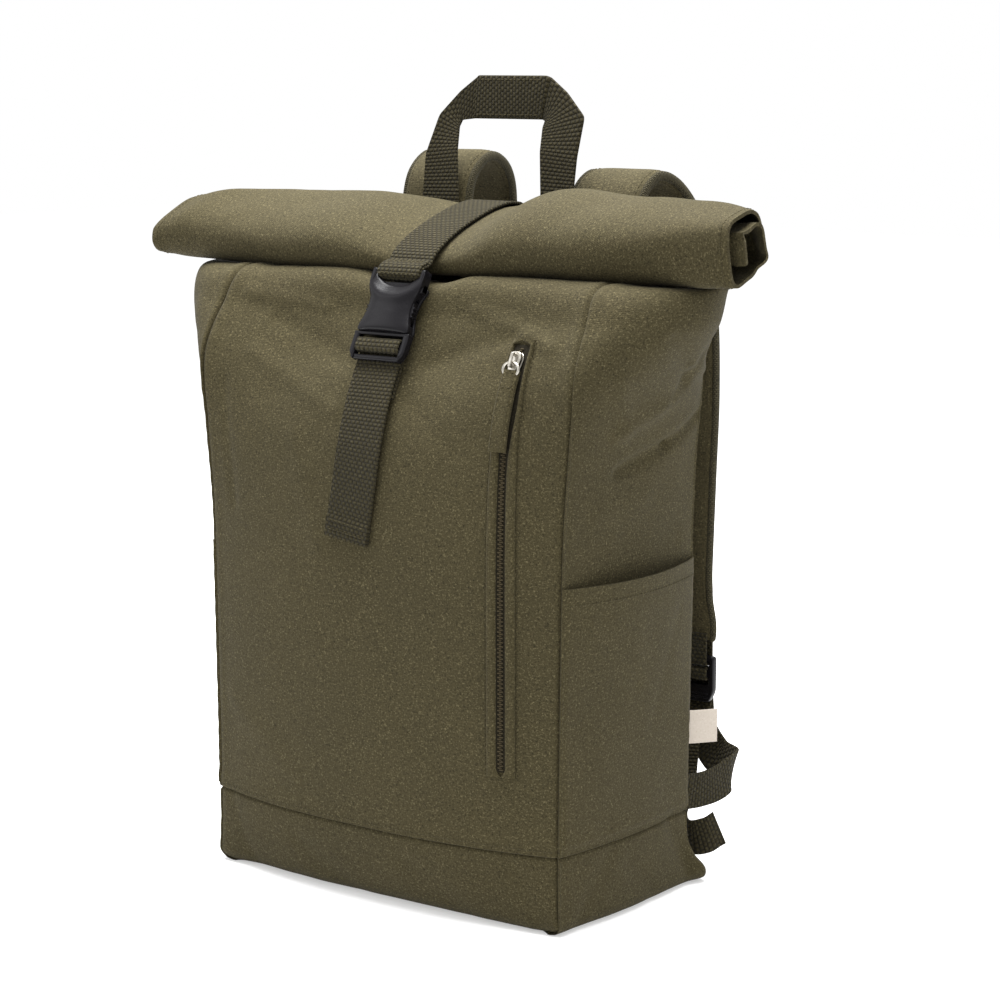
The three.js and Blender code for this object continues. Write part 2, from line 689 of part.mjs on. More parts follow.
// Lower strap: sewn to the front, through the plug and down as the free tail with its hem
function addLowerStrap() {
  const lay = strapThick / 2 + 2 * restGap;
  const layer = strapThick + restGap;
  const anchorHeight = buckleCentre.z - buckleTop - anchorDrop;
  const tailTop = anchorHeight - layer;
  const points = [
    overFront(anchorHeight, lay),
    overFront(anchorHeight + anchorDrop / 3, lay + restGap),
    overFront(anchorHeight + anchorDrop / 1.5, lay + 4 * restGap),
    bucklePoint(-barTurnOut - layer, -buckleTop),
    bucklePoint(-barTurnOut - layer, middleBarLow),
    ...barTurn(upperSlotLow, 1).reverse(),
    ...barTurn(middleBarLow, -1),
    bucklePoint(-barTurnOut, lowerSlotLow),
    bucklePoint(-barTurnOut, -buckleTop),
    overFront(tailTop, lay + layer + 2 * restGap),
    overFront(tailTop - tailLength / 3, lay + layer, tailDrift / 8),
    overFront(tailTop - tailLength / 1.5, lay + layer / 2, tailDrift / 2),
    overFront(tailTop - tailLength, lay + strapThick / 2, tailDrift),
  ];
  const curve = new THREE.CatmullRomCurve3(points, false, 'centripetal');
  const dense = curve.getPoints(points.length * strapSteps.closure);
  const end = dense[dense.length - 1];
  const stations = dense.map((centre) => ({
    centre,
    across: acrossBag,
    halfWidth: strapWidth / 2,
    halfThick: centre.distanceTo(end) < hemLength ? strapThick : strapThick / 2,
  }));
  addMesh('closure_strap_lower', sweepStrap(stations, flatSection), materials.webbing);
}

// A flat strap between two edges, given as pairs of outer and inner points
function edgeStrap(edges, thick) {
  const rings = edges.map(([outer, inner], i) => {
    const before = edges[Math.max(i - 1, 0)];
    const after = edges[Math.min(i + 1, edges.length - 1)];
    const along = after[0].clone().add(after[1]).sub(before[0]).sub(before[1]);
    const across = inner.clone().sub(outer);
    const out = new THREE.Vector3().crossVectors(along, across).setLength(thick / 2);
    return [outer.clone().add(out), inner.clone().add(out), inner.clone().sub(out), outer.clone().sub(out)];
  });
  return bodyFromRings(rings);
}

const handlePlane = backPoint(strapEnd) + restGap + strapThick / 2;
const shoulderPlane = handlePlane + strapThick / 2 + restGap + shoulderThick / 2;

function addHandle() {
  const rise = handleHeight - strapEnd;
  const edges = handleRows.map((row) => {
    const y = handlePlane + row.lean * handleLean;
    const place = (share, up) => {
      const x = handleShift + share * handleSpread / 2;
      return new THREE.Vector3(x, y, strapEnd + up * rise);
    };
    return {
      left: [place(-row.left, row.up), place(-row.leftIn, row.upIn)],
      right: [place(row.right, row.up), place(row.rightIn, row.upIn)],
    };
  });
  const left = edges.map((edge) => edge.left);
  const right = edges.map((edge) => edge.right).reverse();
  addMesh('grab_handle', edgeStrap([...left, ...right], strapThick), materials.webbing);
}

// Stations on a smooth curve through rows that hold a place and a direction across
function twistStations(rows, count, side, width, thick) {
  const curve = (x, y, z) => {
    const points = rows.map((row) => new THREE.Vector3(side * row[x], row[y], row[z]));
    return new THREE.CatmullRomCurve3(points);
  };
  const place = curve('x', 'y', 'z');
  const turn = curve('ax', 'ay', 'az');
  return steps(count).map((t) => ({
    centre: place.getPoint(t),
    across: turn.getPoint(t).normalize(),
    halfWidth: width / 2,
    halfThick: thick / 2,
  }));
}

function addShoulderStrap(side, name) {
  const stations = steps(strapSteps.shoulder).map((t) => {
    const row = readRows(shoulderRows, t);
    const x = shoulderSpread / 2 + row.across * (lockSide - shoulderSpread / 2);
    const y = shoulderPlane + row.reach * shoulderReaches[name];
    return {
      centre: new THREE.Vector3(side * x, y, row.height * shoulderTops[name]),
      across: acrossBag,
      halfWidth: row.width * shoulderWidth / 2,
      halfThick: row.thick * shoulderThick / 2,
    };
  });
  addMesh(`shoulder_strap_${name}`, sweepStrap(stations, paddedSection), materials.strapCloth);
  return stations[stations.length - 1].centre;
}

// Lower webbing from the seam to the lock: side is a share of loopReach beyond the lock, back of the
// way to the lock, rise of the height between them; ax, ay and az give the direction across.
const loopRows = table(['side', 'back', 'rise', 'ax', 'ay', 'az'], [
  [0.81, 0.00,  0.00, 0.15, 0.00, 1.00],
  [0.92, 0.26, -0.02, 0.10, 0.00, 1.00],
  [1.00, 0.51,  0.02, 0.00, 0.05, 1.00],
  [1.00, 0.70,  0.10, 0.00, 0.20, 1.00],
  [0.82, 0.88,  0.13, 0.20, 0.30, 1.00],
  [0.42, 0.97,  0.20, 0.50, 0.20, 0.85],
  [0.08, 1.00,  0.56, 0.95, 0.00, 0.30],
]);

// Loose end below the lock: forward is a share of tailReach, down of tailDrop
const tailRows = table(['side', 'forward', 'down', 'ax', 'ay', 'az'], [
  [-0.02, 0.20, 0.35, 1.00,  0.00, 0.00],
  [ 0.04, 0.40, 0.59, 1.00,  0.00, 0.10],
  [ 0.17, 0.65, 0.80, 0.80, -0.10, 0.50],
  [ 0.40, 0.90, 0.93, 0.30, -0.20, 0.90],
  [ 0.66, 1.00, 0.97, 0.00, -0.20, 1.00],
  [ 0.88, 0.90, 0.95, 0.00, -0.10, 1.00],
  [ 1.00, 0.70, 0.91, 0.00,  0.00, 1.00],
]);

// Ladder lock heights as shares of lockHeight from its middle
const lockRows = { topBar: 0.36, middleTop: 0.20, middleLow: 0.04, bottomTop: -0.12, bottomLow: -0.26 };

function addLock(side, name, strapFoot) {
  const half = lockHeight / 2;
  const lockBack = strapFoot.y;
  const outline = new THREE.Shape();
  const lip = lockWidth / 2 - lockLip;
  outline.moveTo(-lockWidth / 2, lockRows.bottomLow * lockHeight);
  outline.lineTo(-lip, -half);
  outline.lineTo(lip, -half);
  outline.lineTo(lockWidth / 2, lockRows.bottomLow * lockHeight);
  outline.lineTo(lockWidth / 2, half);
  outline.lineTo(-lockWidth / 2, half);
  const slotHalf = adjusterWidth / 2 + fitGap;
  const slots = [[lockRows.topBar, lockRows.middleTop], [lockRows.middleLow, lockRows.bottomTop]];
  for (const [high, low] of slots) {
    const hole = new THREE.Path();
    hole.moveTo(-slotHalf, high * lockHeight);
    hole.lineTo(slotHalf, high * lockHeight);
    hole.lineTo(slotHalf, low * lockHeight);
    hole.lineTo(-slotHalf, low * lockHeight);
    outline.holes.push(hole);
  }
  const body = plate(outline, lockThick).rotateX(Math.PI / 2);
  body.translate(side * lockSide, lockBack, lockCentre);
  addMesh(`ladder_lock_${name}`, body, materials.blackPlastic);

  const out = lockThick / 2 + adjusterThick / 2 + fitGap;
  const turn = adjusterThick / 2 + fitGap;
  const diagonal = turn * Math.SQRT1_2;
  const halfBar = lockThick / 2;
  const x = lockSide;
  const row = (y, z) => ({ x, y, z, ax: 1, ay: 0, az: 0 });
  const top = lockCentre + lockRows.topBar * lockHeight;
  const tabEnd = strapFoot.z - tabClearance;
  const tab = [
    row(lockBack - out, tabEnd),
    row(lockBack - out, top),
    row(lockBack - halfBar - diagonal, top - diagonal),
    row(lockBack - halfBar, top - turn),
    row(lockBack + halfBar, top - turn),
    row(lockBack + halfBar + diagonal, top - diagonal),
    row(lockBack + out, top),
    row(lockBack + out, tabEnd),
  ];
  const tabStations = twistStations(tab, strapSteps.tab, side, adjusterWidth, adjusterThick);
  addMesh(`lock_tab_${name}`, sweepStrap(tabStations, flatSection), materials.webbing);

  const layer = adjusterThick + restGap;
  const barTop = lockCentre + lockRows.middleTop * lockHeight;
  const barLow = lockCentre + lockRows.middleLow * lockHeight;
  const lockLow = lockCentre - lockHeight / 2;
  const behind = lockBack + out + layer;
  const seamV = rowAtHeight(webbingHeight - adjusterWidth / 2);
  const seamY = offsetPoint('right', 1, seamV, 0).y + seamClearance;
  const loop = loopRows.map((r) => ({
    ...r,
    x: x + r.side * loopReach,
    y: seamY + r.back * (behind - seamY),
    z: webbingHeight + r.rise * (lockLow - webbingHeight),
  }));
  const tail = tailRows.map((r) => ({
    ...r,
    x: x + r.side * loopReach,
    y: lockBack - r.forward * tailReach,
    z: lockCentre - r.down * tailDrop,
  }));
  const webbing = [
    ...loop,
    row(behind, lockLow),
    row(behind, barLow),
    row(lockBack + out, barTop),
    row(lockBack + halfBar + diagonal, barTop + diagonal),
    row(lockBack + halfBar, barTop + turn),
    row(lockBack - halfBar, barTop + turn),
    row(lockBack - halfBar - diagonal, barTop + diagonal),
    row(lockBack - out, barTop),
    row(lockBack - out, barLow),
    row(lockBack - halfBar - diagonal, barLow - diagonal),
    row(lockBack - halfBar, barLow - turn),
    row(lockBack + halfBar, barLow - turn),
    row(lockBack + out, barLow - 2 * turn),
    row(lockBack + out, lockLow),
    ...tail,
  ];
  const stations = twistStations(webbing, strapSteps.webbing, side, adjusterWidth, adjusterThick);
  addMesh(`lower_webbing_${name}`, sweepStrap(stations, flatSection), materials.webbing);
}

function addCarrying() {
  addHandle();
  for (const [side, name] of [[1, 'right'], [-1, 'left']]) {
    const foot = addShoulderStrap(side, name);
    addLock(side, name, foot);
  }
}

// A strip on the front cloth, between two distances from it
function frontStrip(centreX, width, low, high, near, thick, drift = 0) {
  const bottom = rowAtHeight(low);
  const top = rowAtHeight(high);
  const edge = (side) => (v) => {
    const swing = drift * (top - v) / (top - bottom);
    const corner = readRows(bodyRows, v).corner * halfWidth;
    return ((centreX + swing + side * width / 2) / corner + 1) / 2;
  };
  const rows = steps(heightSteps.strip, bottom, top);
  return wallPiece('front', [edge(-1), edge(0), edge(1)], rows, near + thick, near, 0);
}

function addZip() {
  const teethNear = zipSeat + zipTapeThick + restGap;
  const topNear = teethNear + zipTeethThick + restGap;
  const tape = frontStrip(zipSide, zipTapeWidth, zipLow, zipHigh, zipSeat, zipTapeThick);
  const teeth = frontStrip(zipSide, zipTeethWidth, zipLow, zipHigh, teethNear, zipTeethThick);
  addMesh('zip_tape', tape, materials.zipTape);
  addMesh('zip_teeth', teeth, materials.zipCoil);

  const sliderHeight = zipHigh - sliderLength;
  const v = rowAtHeight(sliderHeight);
  const s = (zipSide / (readRows(bodyRows, v).corner * halfWidth) + 1) / 2;
  const seat = offsetPoint('front', s, v, topNear + sliderThick / 2);
  const { around, normal } = bodyTangents('front', s, v);
  const alongZip = new THREE.Vector3().crossVectors(normal, around);
  const frame = new THREE.Matrix4().makeBasis(around, alongZip, normal);
  frame.setPosition(seat);
  const eyeHigh = 2 * wireRadius + 3 * restGap;
  const bridgeHigh = eyeHigh + bridgeRoof;
  const bridgeLong = bridgeShare * sliderLength;
  const bridgeZ = sliderThick / 2 + (bridgeHigh - bridgeRoof) / 2;
  const eyeLong = bridgeLong - 2 * bridgeLeg;
  let slider = boxSolid(sliderWidth, sliderLength, sliderThick, 0, 0, 0);
  slider = slider.add(boxSolid(bridgeWide, bridgeLong, bridgeHigh + bridgeRoof, 0, 0, bridgeZ));
  slider = slider.subtract(boxSolid(2 * bridgeWide, eyeLong, eyeHigh, 0, 0, sliderThick / 2 + eyeHigh / 2));
  addMesh('zip_slider', geometryOf(slider).applyMatrix4(frame), materials.silverMetal);

  const ring = new THREE.TorusGeometry(ringRadius, wireRadius, ringSteps.wire, ringSteps.turn);
  const ringY = bridgeLong / 2 - bridgeLeg - restGap - wireRadius - ringRadius;
  ring.translate(0, ringY, sliderThick / 2 + restGap + wireRadius);
  ring.applyMatrix4(frame);
  addMesh('puller_ring', ring, materials.silverMetal);

  const pullerTop = sliderHeight - sliderLength / 2 - restGap;
  const pullerLow = pullerTop - pullerLength;
  const tab = frontStrip(zipSide, pullerWidth, pullerLow, pullerTop, topNear, pullerThick, pullerDrift);
  addMesh('puller_tab', tab, materials.canvas);
}

function addLabel() {
  const v = rowAtHeight(labelLow + labelHeight / 2);
  const seam = offsetPoint('right', 1, v, 0);
  const plain = new THREE.BoxGeometry(labelThick, labelWidth, labelHeight);
  plain.translate(-labelThick / 2, labelStart + labelWidth / 2, labelLow + labelHeight / 2);
  plain.rotateZ(-THREE.MathUtils.degToRad(labelTurn)).translate(seam.x, seam.y, 0);
  addMesh('side_label', plain, materials.creamLabel);
}

addCarrying();
addZip();
addLabel();
addBody();
addPockets();
addRoll();
addBuckle();
addUpperStrap();
addLowerStrap();

export default backpack;
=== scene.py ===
import json
import math
import bmesh
import bpy
import numpy as np
from mathutils import Matrix, Vector

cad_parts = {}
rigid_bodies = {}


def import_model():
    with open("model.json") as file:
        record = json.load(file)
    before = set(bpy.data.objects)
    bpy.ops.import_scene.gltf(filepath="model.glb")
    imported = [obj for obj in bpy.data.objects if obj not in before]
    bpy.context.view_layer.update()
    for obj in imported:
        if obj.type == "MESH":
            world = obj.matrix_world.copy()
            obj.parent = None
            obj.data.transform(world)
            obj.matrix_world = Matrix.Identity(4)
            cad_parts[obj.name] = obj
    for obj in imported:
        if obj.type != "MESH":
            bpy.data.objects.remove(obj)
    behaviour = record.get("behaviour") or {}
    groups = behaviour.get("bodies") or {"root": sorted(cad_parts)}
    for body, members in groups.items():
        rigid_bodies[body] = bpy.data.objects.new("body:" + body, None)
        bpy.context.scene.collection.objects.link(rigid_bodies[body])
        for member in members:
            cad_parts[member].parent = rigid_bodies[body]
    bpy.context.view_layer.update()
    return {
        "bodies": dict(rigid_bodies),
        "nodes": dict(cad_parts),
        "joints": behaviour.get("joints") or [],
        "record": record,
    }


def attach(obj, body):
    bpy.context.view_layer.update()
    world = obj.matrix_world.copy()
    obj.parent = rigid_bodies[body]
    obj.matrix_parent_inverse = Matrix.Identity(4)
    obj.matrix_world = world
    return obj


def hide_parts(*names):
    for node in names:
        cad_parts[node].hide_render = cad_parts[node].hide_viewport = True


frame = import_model()

# Lengths below are millimetres with +Z up and the front towards -Y; meshes are made in metres
toMetres = 0.001
body = {
    "width": 290, "depth": 156, "mouthHeight": 398, "mouthLength": 416, "frontBulge": 22,
    "backBulge": 4, "wall": 2, "bulgePower": 2.4, "bandShare": 3 / 12,
}
webbingSize = {"width": 35, "thick": 2, "adjusterWidth": 25, "adjusterThick": 1.6}
restGap = 0.3
fitGap = 0.35

bodyColumns = [
    "up", "upSide", "upBack", "front", "bulge", "corner", "side", "back", "hollow", "drift", "fold", "sway",
]
bodyRows = [
    [0.000, 0.000, 0.000, 1.000, 0.10, 0.985, 0.02, 1.040, 0.0, 0.00, 2.0, 0.000],
    [0.035, 0.035, 0.035, 1.012, 0.45, 0.982, 0.03, 0.905, 0.2, 0.00, 2.0, 0.000],
    [0.075, 0.075, 0.075, 1.012, 0.72, 0.980, 0.04, 0.835, 0.5, 0.00, 2.0, 0.000],
    [0.131, 0.131, 0.131, 1.012, 0.90, 0.980, 0.05, 0.808, 0.8, 0.00, 2.0, 0.000],
    [0.280, 0.280, 0.280, 1.012, 1.00, 0.984, 0.05, 0.810, 1.0, 0.00, 2.0, 0.000],
    [0.450, 0.450, 0.450, 1.012, 1.00, 0.990, 0.05, 0.820, 1.0, 0.00, 2.0, 0.000],
    [0.620, 0.620, 0.620, 1.015, 0.92, 1.000, 0.08, 0.808, 1.0, 0.00, 2.0, 0.000],
    [0.750, 0.750, 0.750, 1.025, 0.62, 1.028, 0.17, 0.785, 0.7, -0.02, 1.9, -0.005],
    [0.830, 0.830, 0.830, 1.030, 0.10, 1.048, 0.36, 0.785, 0.4, -0.04, 1.7, -0.010],
    [0.885, 0.885, 0.890, 0.995, -0.40, 1.046, 0.62, 0.765, 0.2, -0.06, 1.5, -0.020],
    [0.948, 0.946, 0.950, 0.830, -0.35, 1.028, 0.90, 0.750, 0.0, -0.08, 1.3, -0.025],
    [1.001, 0.990, 1.000, 0.590, -0.02, 1.005, 0.99, 0.740, 0.0, -0.10, 1.1, -0.032],
    [0.992, 1.002, 1.020, -0.100, 0.00, 1.000, 1.00, 0.700, 0.0, -0.16, 1.0, -0.034],
]
panels = ["front", "right", "back", "left"]


def bell(distance, width):
    # 1 at no distance, and falling smoothly to nothing
    return np.exp(-(distance / width) ** 2)


def unit(vectors):
    return vectors / np.maximum(np.linalg.norm(vectors, axis=-1, keepdims=True), 1e-9)


def readRows(columns, rows, position):
    # smooth reading of every column at positions from 0 to 1
    values = np.array(rows, float)
    last = len(values) - 1
    place = np.clip(position, 0, 1) * last
    index = np.minimum(np.floor(place).astype(int), last - 1)
    t = (place - index)[..., None]
    padded = np.vstack([2 * values[0] - values[1], values, 2 * values[-1] - values[-2]])
    p0, p1, p2, p3 = (padded[index + k] for k in range(4))
    bend = 2 * p0 - 5 * p1 + 4 * p2 - p3
    twist = 3 * p1 - p0 - 3 * p2 + p3
    result = p1 + 0.5 * t * (p2 - p0 + t * (bend + t * twist))
    return {name: result[..., k] for k, name in enumerate(columns)}


def bodyPoint(panel, s, v):
    s, v = np.broadcast_arrays(np.asarray(s, float), np.asarray(v, float))
    row = readRows(bodyColumns, bodyRows, v)
    halfWidth, halfDepth = body["width"] / 2, body["depth"] / 2
    cornerX = row["corner"] * halfWidth
    frontY, backY = -row["front"] * halfDepth, row["back"] * halfDepth
    frontZ, backZ = row["up"] * body["mouthHeight"], row["upBack"] * body["mouthHeight"]
    swell = 1 - np.abs(2 * s - 1) ** body["bulgePower"]
    if panel == "front":
        bulge = row["bulge"] * body["frontBulge"] * swell
        return np.stack([(2 * s - 1) * cornerX, frontY - bulge, frontZ], -1)
    if panel == "back":
        bulge = row["hollow"] * body["backBulge"] * swell
        return np.stack([(1 - 2 * s) * cornerX, backY + bulge, backZ], -1)
    side = 1 if panel == "right" else -1
    turn = (s - 0.5) * math.pi * side
    lift = np.maximum(np.cos(turn), 0)
    share = (1 + np.sin(turn)) / 2
    flare = body["mouthLength"] / 2 - halfWidth
    sideX = halfWidth + row["side"] * flare
    x = cornerX + (sideX - cornerX) * lift ** row["fold"]
    y = frontY + (backY - frontY) * share + row["drift"] * halfDepth * lift
    rise = row["upSide"] * body["mouthHeight"] - (frontZ + backZ) / 2
    z = frontZ + (backZ - frontZ) * share + rise * lift
    return np.stack([side * x + row["sway"] * halfWidth * lift, y, z], -1)


def panelNormal(panel, s, v, reachAround=0.03, reachUp=0.012):
    s, v = np.broadcast_arrays(np.asarray(s, float), np.asarray(v, float))
    s0 = np.clip(s - reachAround, 0, 1 - 2 * reachAround)
    v0 = np.clip(v - reachUp, 0, 1 - 2 * reachUp)
    around = bodyPoint(panel, s0 + 2 * reachAround, v) - bodyPoint(panel, s0, v)
    up = bodyPoint(panel, s, v0 + 2 * reachUp) - bodyPoint(panel, s, v0)
    return unit(np.cross(unit(around), unit(up)))


def bodyNormal(panel, s, v, seamBlend=0.03):
    # the panel's own normal, turned into the one that both panels share along a seam
    s, v = np.broadcast_arrays(np.asarray(s, float), np.asarray(v, float))
    normal = panelNormal(panel, s, v)
    for edge, step in ((0, -1), (1, 1)):
        other = panels[(panels.index(panel) + step) % 4]
        ownEdge, otherEdge = np.full_like(s, edge), np.full_like(s, 1 - edge)
        shared = unit(panelNormal(panel, ownEdge, v) + panelNormal(other, otherEdge, v))
        weight = bell(s - edge, seamBlend)[..., None]
        normal = normal * (1 - weight) + shared * weight
    return unit(normal)


denseV = np.linspace(0, 11 / 12, 1200)
denseUp = readRows(bodyColumns, bodyRows, denseV)["up"] * body["mouthHeight"]


def rowAtHeight(height):
    return np.interp(height, denseUp, denseV)


lattice = np.random.default_rng(41).random((32, 32, 32)) * 2 - 1


def softNoise(points, size, shift=0.0):
    # smooth random relief from -1 to 1, whose lumps measure about size
    place = np.asarray(points, float) / size + shift
    cell = np.floor(place).astype(int)
    part = place - cell
    part = part * part * (3 - 2 * part)
    total = np.zeros(place.shape[:-1])
    for corner in np.ndindex(2, 2, 2):
        weight = np.prod(np.where(np.array(corner) == 1, part, 1 - part), -1)
        total += weight * lattice[tuple(((cell + corner) % 32)[..., k] for k in range(3))]
    return total


def smoothStep(low, high, value):
    t = np.clip((value - low) / (high - low), 0, 1)
    return t * t * (3 - 2 * t)


def foldDepth(a, b, folds):
    # each fold runs from one point to another and has a depth and a width
    total = np.zeros_like(a)
    for a1, b1, a2, b2, depth, width in folds:
        da, db = a2 - a1, b2 - b1
        t = np.clip(((a - a1) * da + (b - b1) * db) / (da * da + db * db), 0, 1)
        reach = np.hypot(a - a1 - t * da, b - b1 - t * db)
        total += depth * bell(reach, width * (0.55 + 0.9 * t * (1 - t)))
    return total


cloth = {
    "lumps": [(52, 3.3, 0.9), (23, 7.7, 0.4), (9, 1.9, 0.14)],  # size, shift and height
    "calmLow": 0.55, "liveTop": 1.5,
    "seamPinch": 2.0, "seamWidth": 1.6, "ridge": 0.5, "ridgeAt": 6, "ridgeWidth": 3.5,
    "puckerDepth": 0.14, "puckerPitch": 13, "puckerAt": 4, "puckerWidth": 7,
    "hem": 0.8, "hemWidth": 6, "groove": 1.5, "grooveDrop": 1.2, "grooveWidth": 0.9,
    "baseRound": 9.0, "mouthLift": 5.0,
    "ear": 6.5, "earHeight": 6, "earTall": 15, "earWide": 20, "wavy": 1.8, "wavyTall": 16,
    "frontFolds": [
        (-100, 372, -20, 345, -1.8, 9), (-112, 350, -30, 318, 1.4, 10), (30, 350, 96, 372, -1.5, 9),
        (-132, 330, -118, 250, -1.2, 8), (24, 330, 70, 300, -1.0, 9), (-60, 300, -34, 230, 0.9, 12),
        (60, 384, 130, 366, 1.6, 7), (-130, 386, -60, 380, 1.5, 6), (-125, 120, -60, 75, 0.8, 14),
        (40, 120, 90, 80, -0.7, 14), (118, 330, 136, 290, -1.2, 7), (112, 44, 128, 10, -1.0, 10),
        (-128, 46, -112, 8, -0.9, 10), (134, 30, 120, 4, 0.8, 9), (-60, 30, -20, 4, -1.1, 14),
        (30, 34, 70, 6, -1.0, 14),
    ],
    "sideFolds": [
        (-34, 288, 18, 300, -3.2, 7), (18, 300, 62, 316, -2.6, 6), (-40, 312, 10, 330, 2.2, 9),
        (-30, 372, 20, 340, -2.4, 8), (30, 372, 8, 330, -2.0, 8), (-50, 262, 0, 270, 1.0, 12),
        (10, 352, 55, 345, 1.8, 7), (-20, 245, 40, 236, -0.9, 12), (-55, 350, -30, 310, 1.2, 8),
        (40, 50, 62, 12, -1.8, 11), (-30, 46, -58, 8, -1.0, 11), (66, 30, 76, 4, 1.2, 9),
        (-10, 34, 20, 6, -1.0, 12),
    ],
    "backFolds": [
        (-110, 340, -60, 300, -1.5, 12), (100, 330, 50, 290, -1.4, 12), (-90, 120, 90, 110, -0.8, 16),
    ],
}


def relief(panel, s, v):
    # how far the cloth stands out of its plain shape
    point = bodyPoint(panel, s, v)
    x, y, z = point[..., 0], point[..., 1], point[..., 2]
    wide = body["width"] if panel in ("front", "back") else body["depth"]
    edge = np.minimum(s, 1 - s) * wide
    top = smoothStep(0.5, 0.9, z / body["mouthHeight"])
    lively = cloth["calmLow"] + (cloth["liveTop"] - cloth["calmLow"]) * top
    soft = sum(softNoise(point, size, shift) * height for size, shift, height in cloth["lumps"])
    calm = smoothStep(2, 24, edge)
    folds = {"front": (x, z, cloth["frontFolds"]), "back": (x, z, cloth["backFolds"])}
    folded = foldDepth(*folds.get(panel, (y, z, cloth["sideFolds"])))
    # a seam pulls in beside a low ridge, with fine puckers along it
    pinch = cloth["ridge"] * bell(edge - cloth["ridgeAt"], cloth["ridgeWidth"])
    pinch = pinch - cloth["seamPinch"] * bell(edge, cloth["seamWidth"])
    wave = np.sin(2 * math.pi * (z + 9 * softNoise(point * [0, 0, 1], 30)) / cloth["puckerPitch"])
    pucker = cloth["puckerDepth"] * wave * bell(edge - cloth["puckerAt"], cloth["puckerWidth"])
    pucker = pucker * smoothStep(0, cloth["puckerAt"], edge)
    # the panel laps over the band, with a groove under its edge
    over = z - bodyPoint(panel, s, np.full_like(s, body["bandShare"]))[..., 2]
    hem = cloth["hem"] * smoothStep(-0.5, -0.05, over) * bell(np.maximum(over - cloth["hemWidth"], 0), 3)
    hem = hem - cloth["groove"] * bell(over + cloth["grooveDrop"], cloth["grooveWidth"])
    # the foot is rounded, as deep on the diagonal of a corner, and its back corners stick out
    under = np.clip(cloth["baseRound"] - z, 0, cloth["baseRound"])
    rounding = np.sqrt(cloth["baseRound"] ** 2 - under ** 2) - cloth["baseRound"]
    rounding = rounding * (1 + (math.sqrt(2) - 1) * bell(edge, 6))
    backSeam = {"right": 1 - s, "back": np.minimum(s, 1 - s), "left": s}.get(panel, 9.0) * wide
    ear = cloth["ear"] * bell(z - cloth["earHeight"], cloth["earTall"]) * bell(backSeam, cloth["earWide"])
    wavy = softNoise(point * [1, 1, 0], 30, 2.6) * cloth["wavy"] * bell(z, cloth["wavyTall"])
    plain = lively * soft * (0.35 + 0.65 * calm) + folded * calm + hem + rounding
    return plain + (pinch + pucker) * (0.25 + 0.75 * smoothStep(0, 14, z)) + ear + wavy


def clothPoint(panel, s, v, distance=0.0):
    s, v = np.broadcast_arrays(np.asarray(s, float), np.asarray(v, float))
    out = (relief(panel, s, v) + distance)[..., None]
    plain = bodyPoint(panel, s, v)
    point = plain + bodyNormal(panel, s, v) * out
    point[..., 2] = plain[..., 2] + (point[..., 2] - plain[..., 2]) * smoothStep(0, 14, plain[..., 2])
    beside = smoothStep(20, 46, np.abs(point[..., 0])) if panel == "front" else 1.0
    lift = cloth["mouthLift"] * smoothStep(0.84, 0.95, v) * beside
    point[..., 2] = np.maximum(point[..., 2], 0) + lift
    return point


def gridFaces(rows, cols, start=0, flip=False, wrap=False):
    i, j = np.meshgrid(np.arange(rows - 1), np.arange(cols if wrap else cols - 1), indexing="ij")
    a, b = start + i * cols + j, start + i * cols + (j + 1) % cols
    quads = np.stack([a, b, b + cols, a + cols], -1).reshape(-1, 4)
    return (quads[:, ::-1] if flip else quads).tolist()


def makeMesh(name, points, faces, uvs, sharpAngle=55, tidy=True):
    mesh = bpy.data.meshes.new(name)
    mesh.from_pydata((np.asarray(points).reshape(-1, 3) * toMetres).tolist(), [], faces)
    loops = np.zeros(len(mesh.loops), np.int32)
    mesh.loops.foreach_get("vertex_index", loops)
    layer = mesh.uv_layers.new(name="cut")
    layer.data.foreach_set("uv", (np.asarray(uvs, float).reshape(-1, 2)[loops] * toMetres).ravel())
    if tidy:
        work = bmesh.new()
        work.from_mesh(mesh)
        bmesh.ops.recalc_face_normals(work, faces=work.faces)
        work.to_mesh(mesh)
        work.free()
    mesh.shade_smooth()
    mesh.set_sharp_from_angle(angle=math.radians(sharpAngle))
    return mesh


def shellMesh(name, outer, inner, uv, sharpAngle=55):
    # a sheet with thickness: two grids joined along their four edges
    rows, cols = outer.shape[:2]
    count = rows * cols
    faces = gridFaces(rows, cols) + gridFaces(rows, cols, count, flip=True)
    index = np.arange(count).reshape(rows, cols)
    for line in (index[0], index[-1][::-1], index[:, -1], index[:, 0][::-1]):
        a, b = line[:-1], line[1:]
        faces += np.stack([b, a, a + count, b + count], -1).tolist()
    points = np.concatenate([outer.reshape(-1, 3), inner.reshape(-1, 3)])
    uvs = np.concatenate([uv.reshape(-1, 2)] * 2)
    return makeMesh(name, points, faces, uvs, sharpAngle)


def flatUv(points):
    # lengths along both directions of a grid, measured on the cloth
    across = np.linalg.norm(np.diff(points, axis=1), axis=-1).mean(0)
    along = np.linalg.norm(np.diff(points, axis=0), axis=-1).mean(1)
    u = np.concatenate([[0], np.cumsum(across)])
    v = np.concatenate([[0], np.cumsum(along)])
    return np.stack(np.meshgrid(u - u[-1] / 2, v), -1)


class Wire:
    # wraps one shader socket, so that maths on it reads as an expression
    def __init__(self, recipe, socket):
        self.recipe, self.socket = recipe, socket

    def __add__(self, other):
        return self.recipe.maths("ADD", self, other)

    __radd__ = __add__

    def __sub__(self, other):
        return self.recipe.maths("SUBTRACT", self, other)

    def __rsub__(self, other):
        return self.recipe.maths("SUBTRACT", other, self)

    def __mul__(self, other):
        return self.recipe.maths("MULTIPLY", self, other)

    __rmul__ = __mul__

    def __pow__(self, other):
        return self.recipe.maths("POWER", self, other)


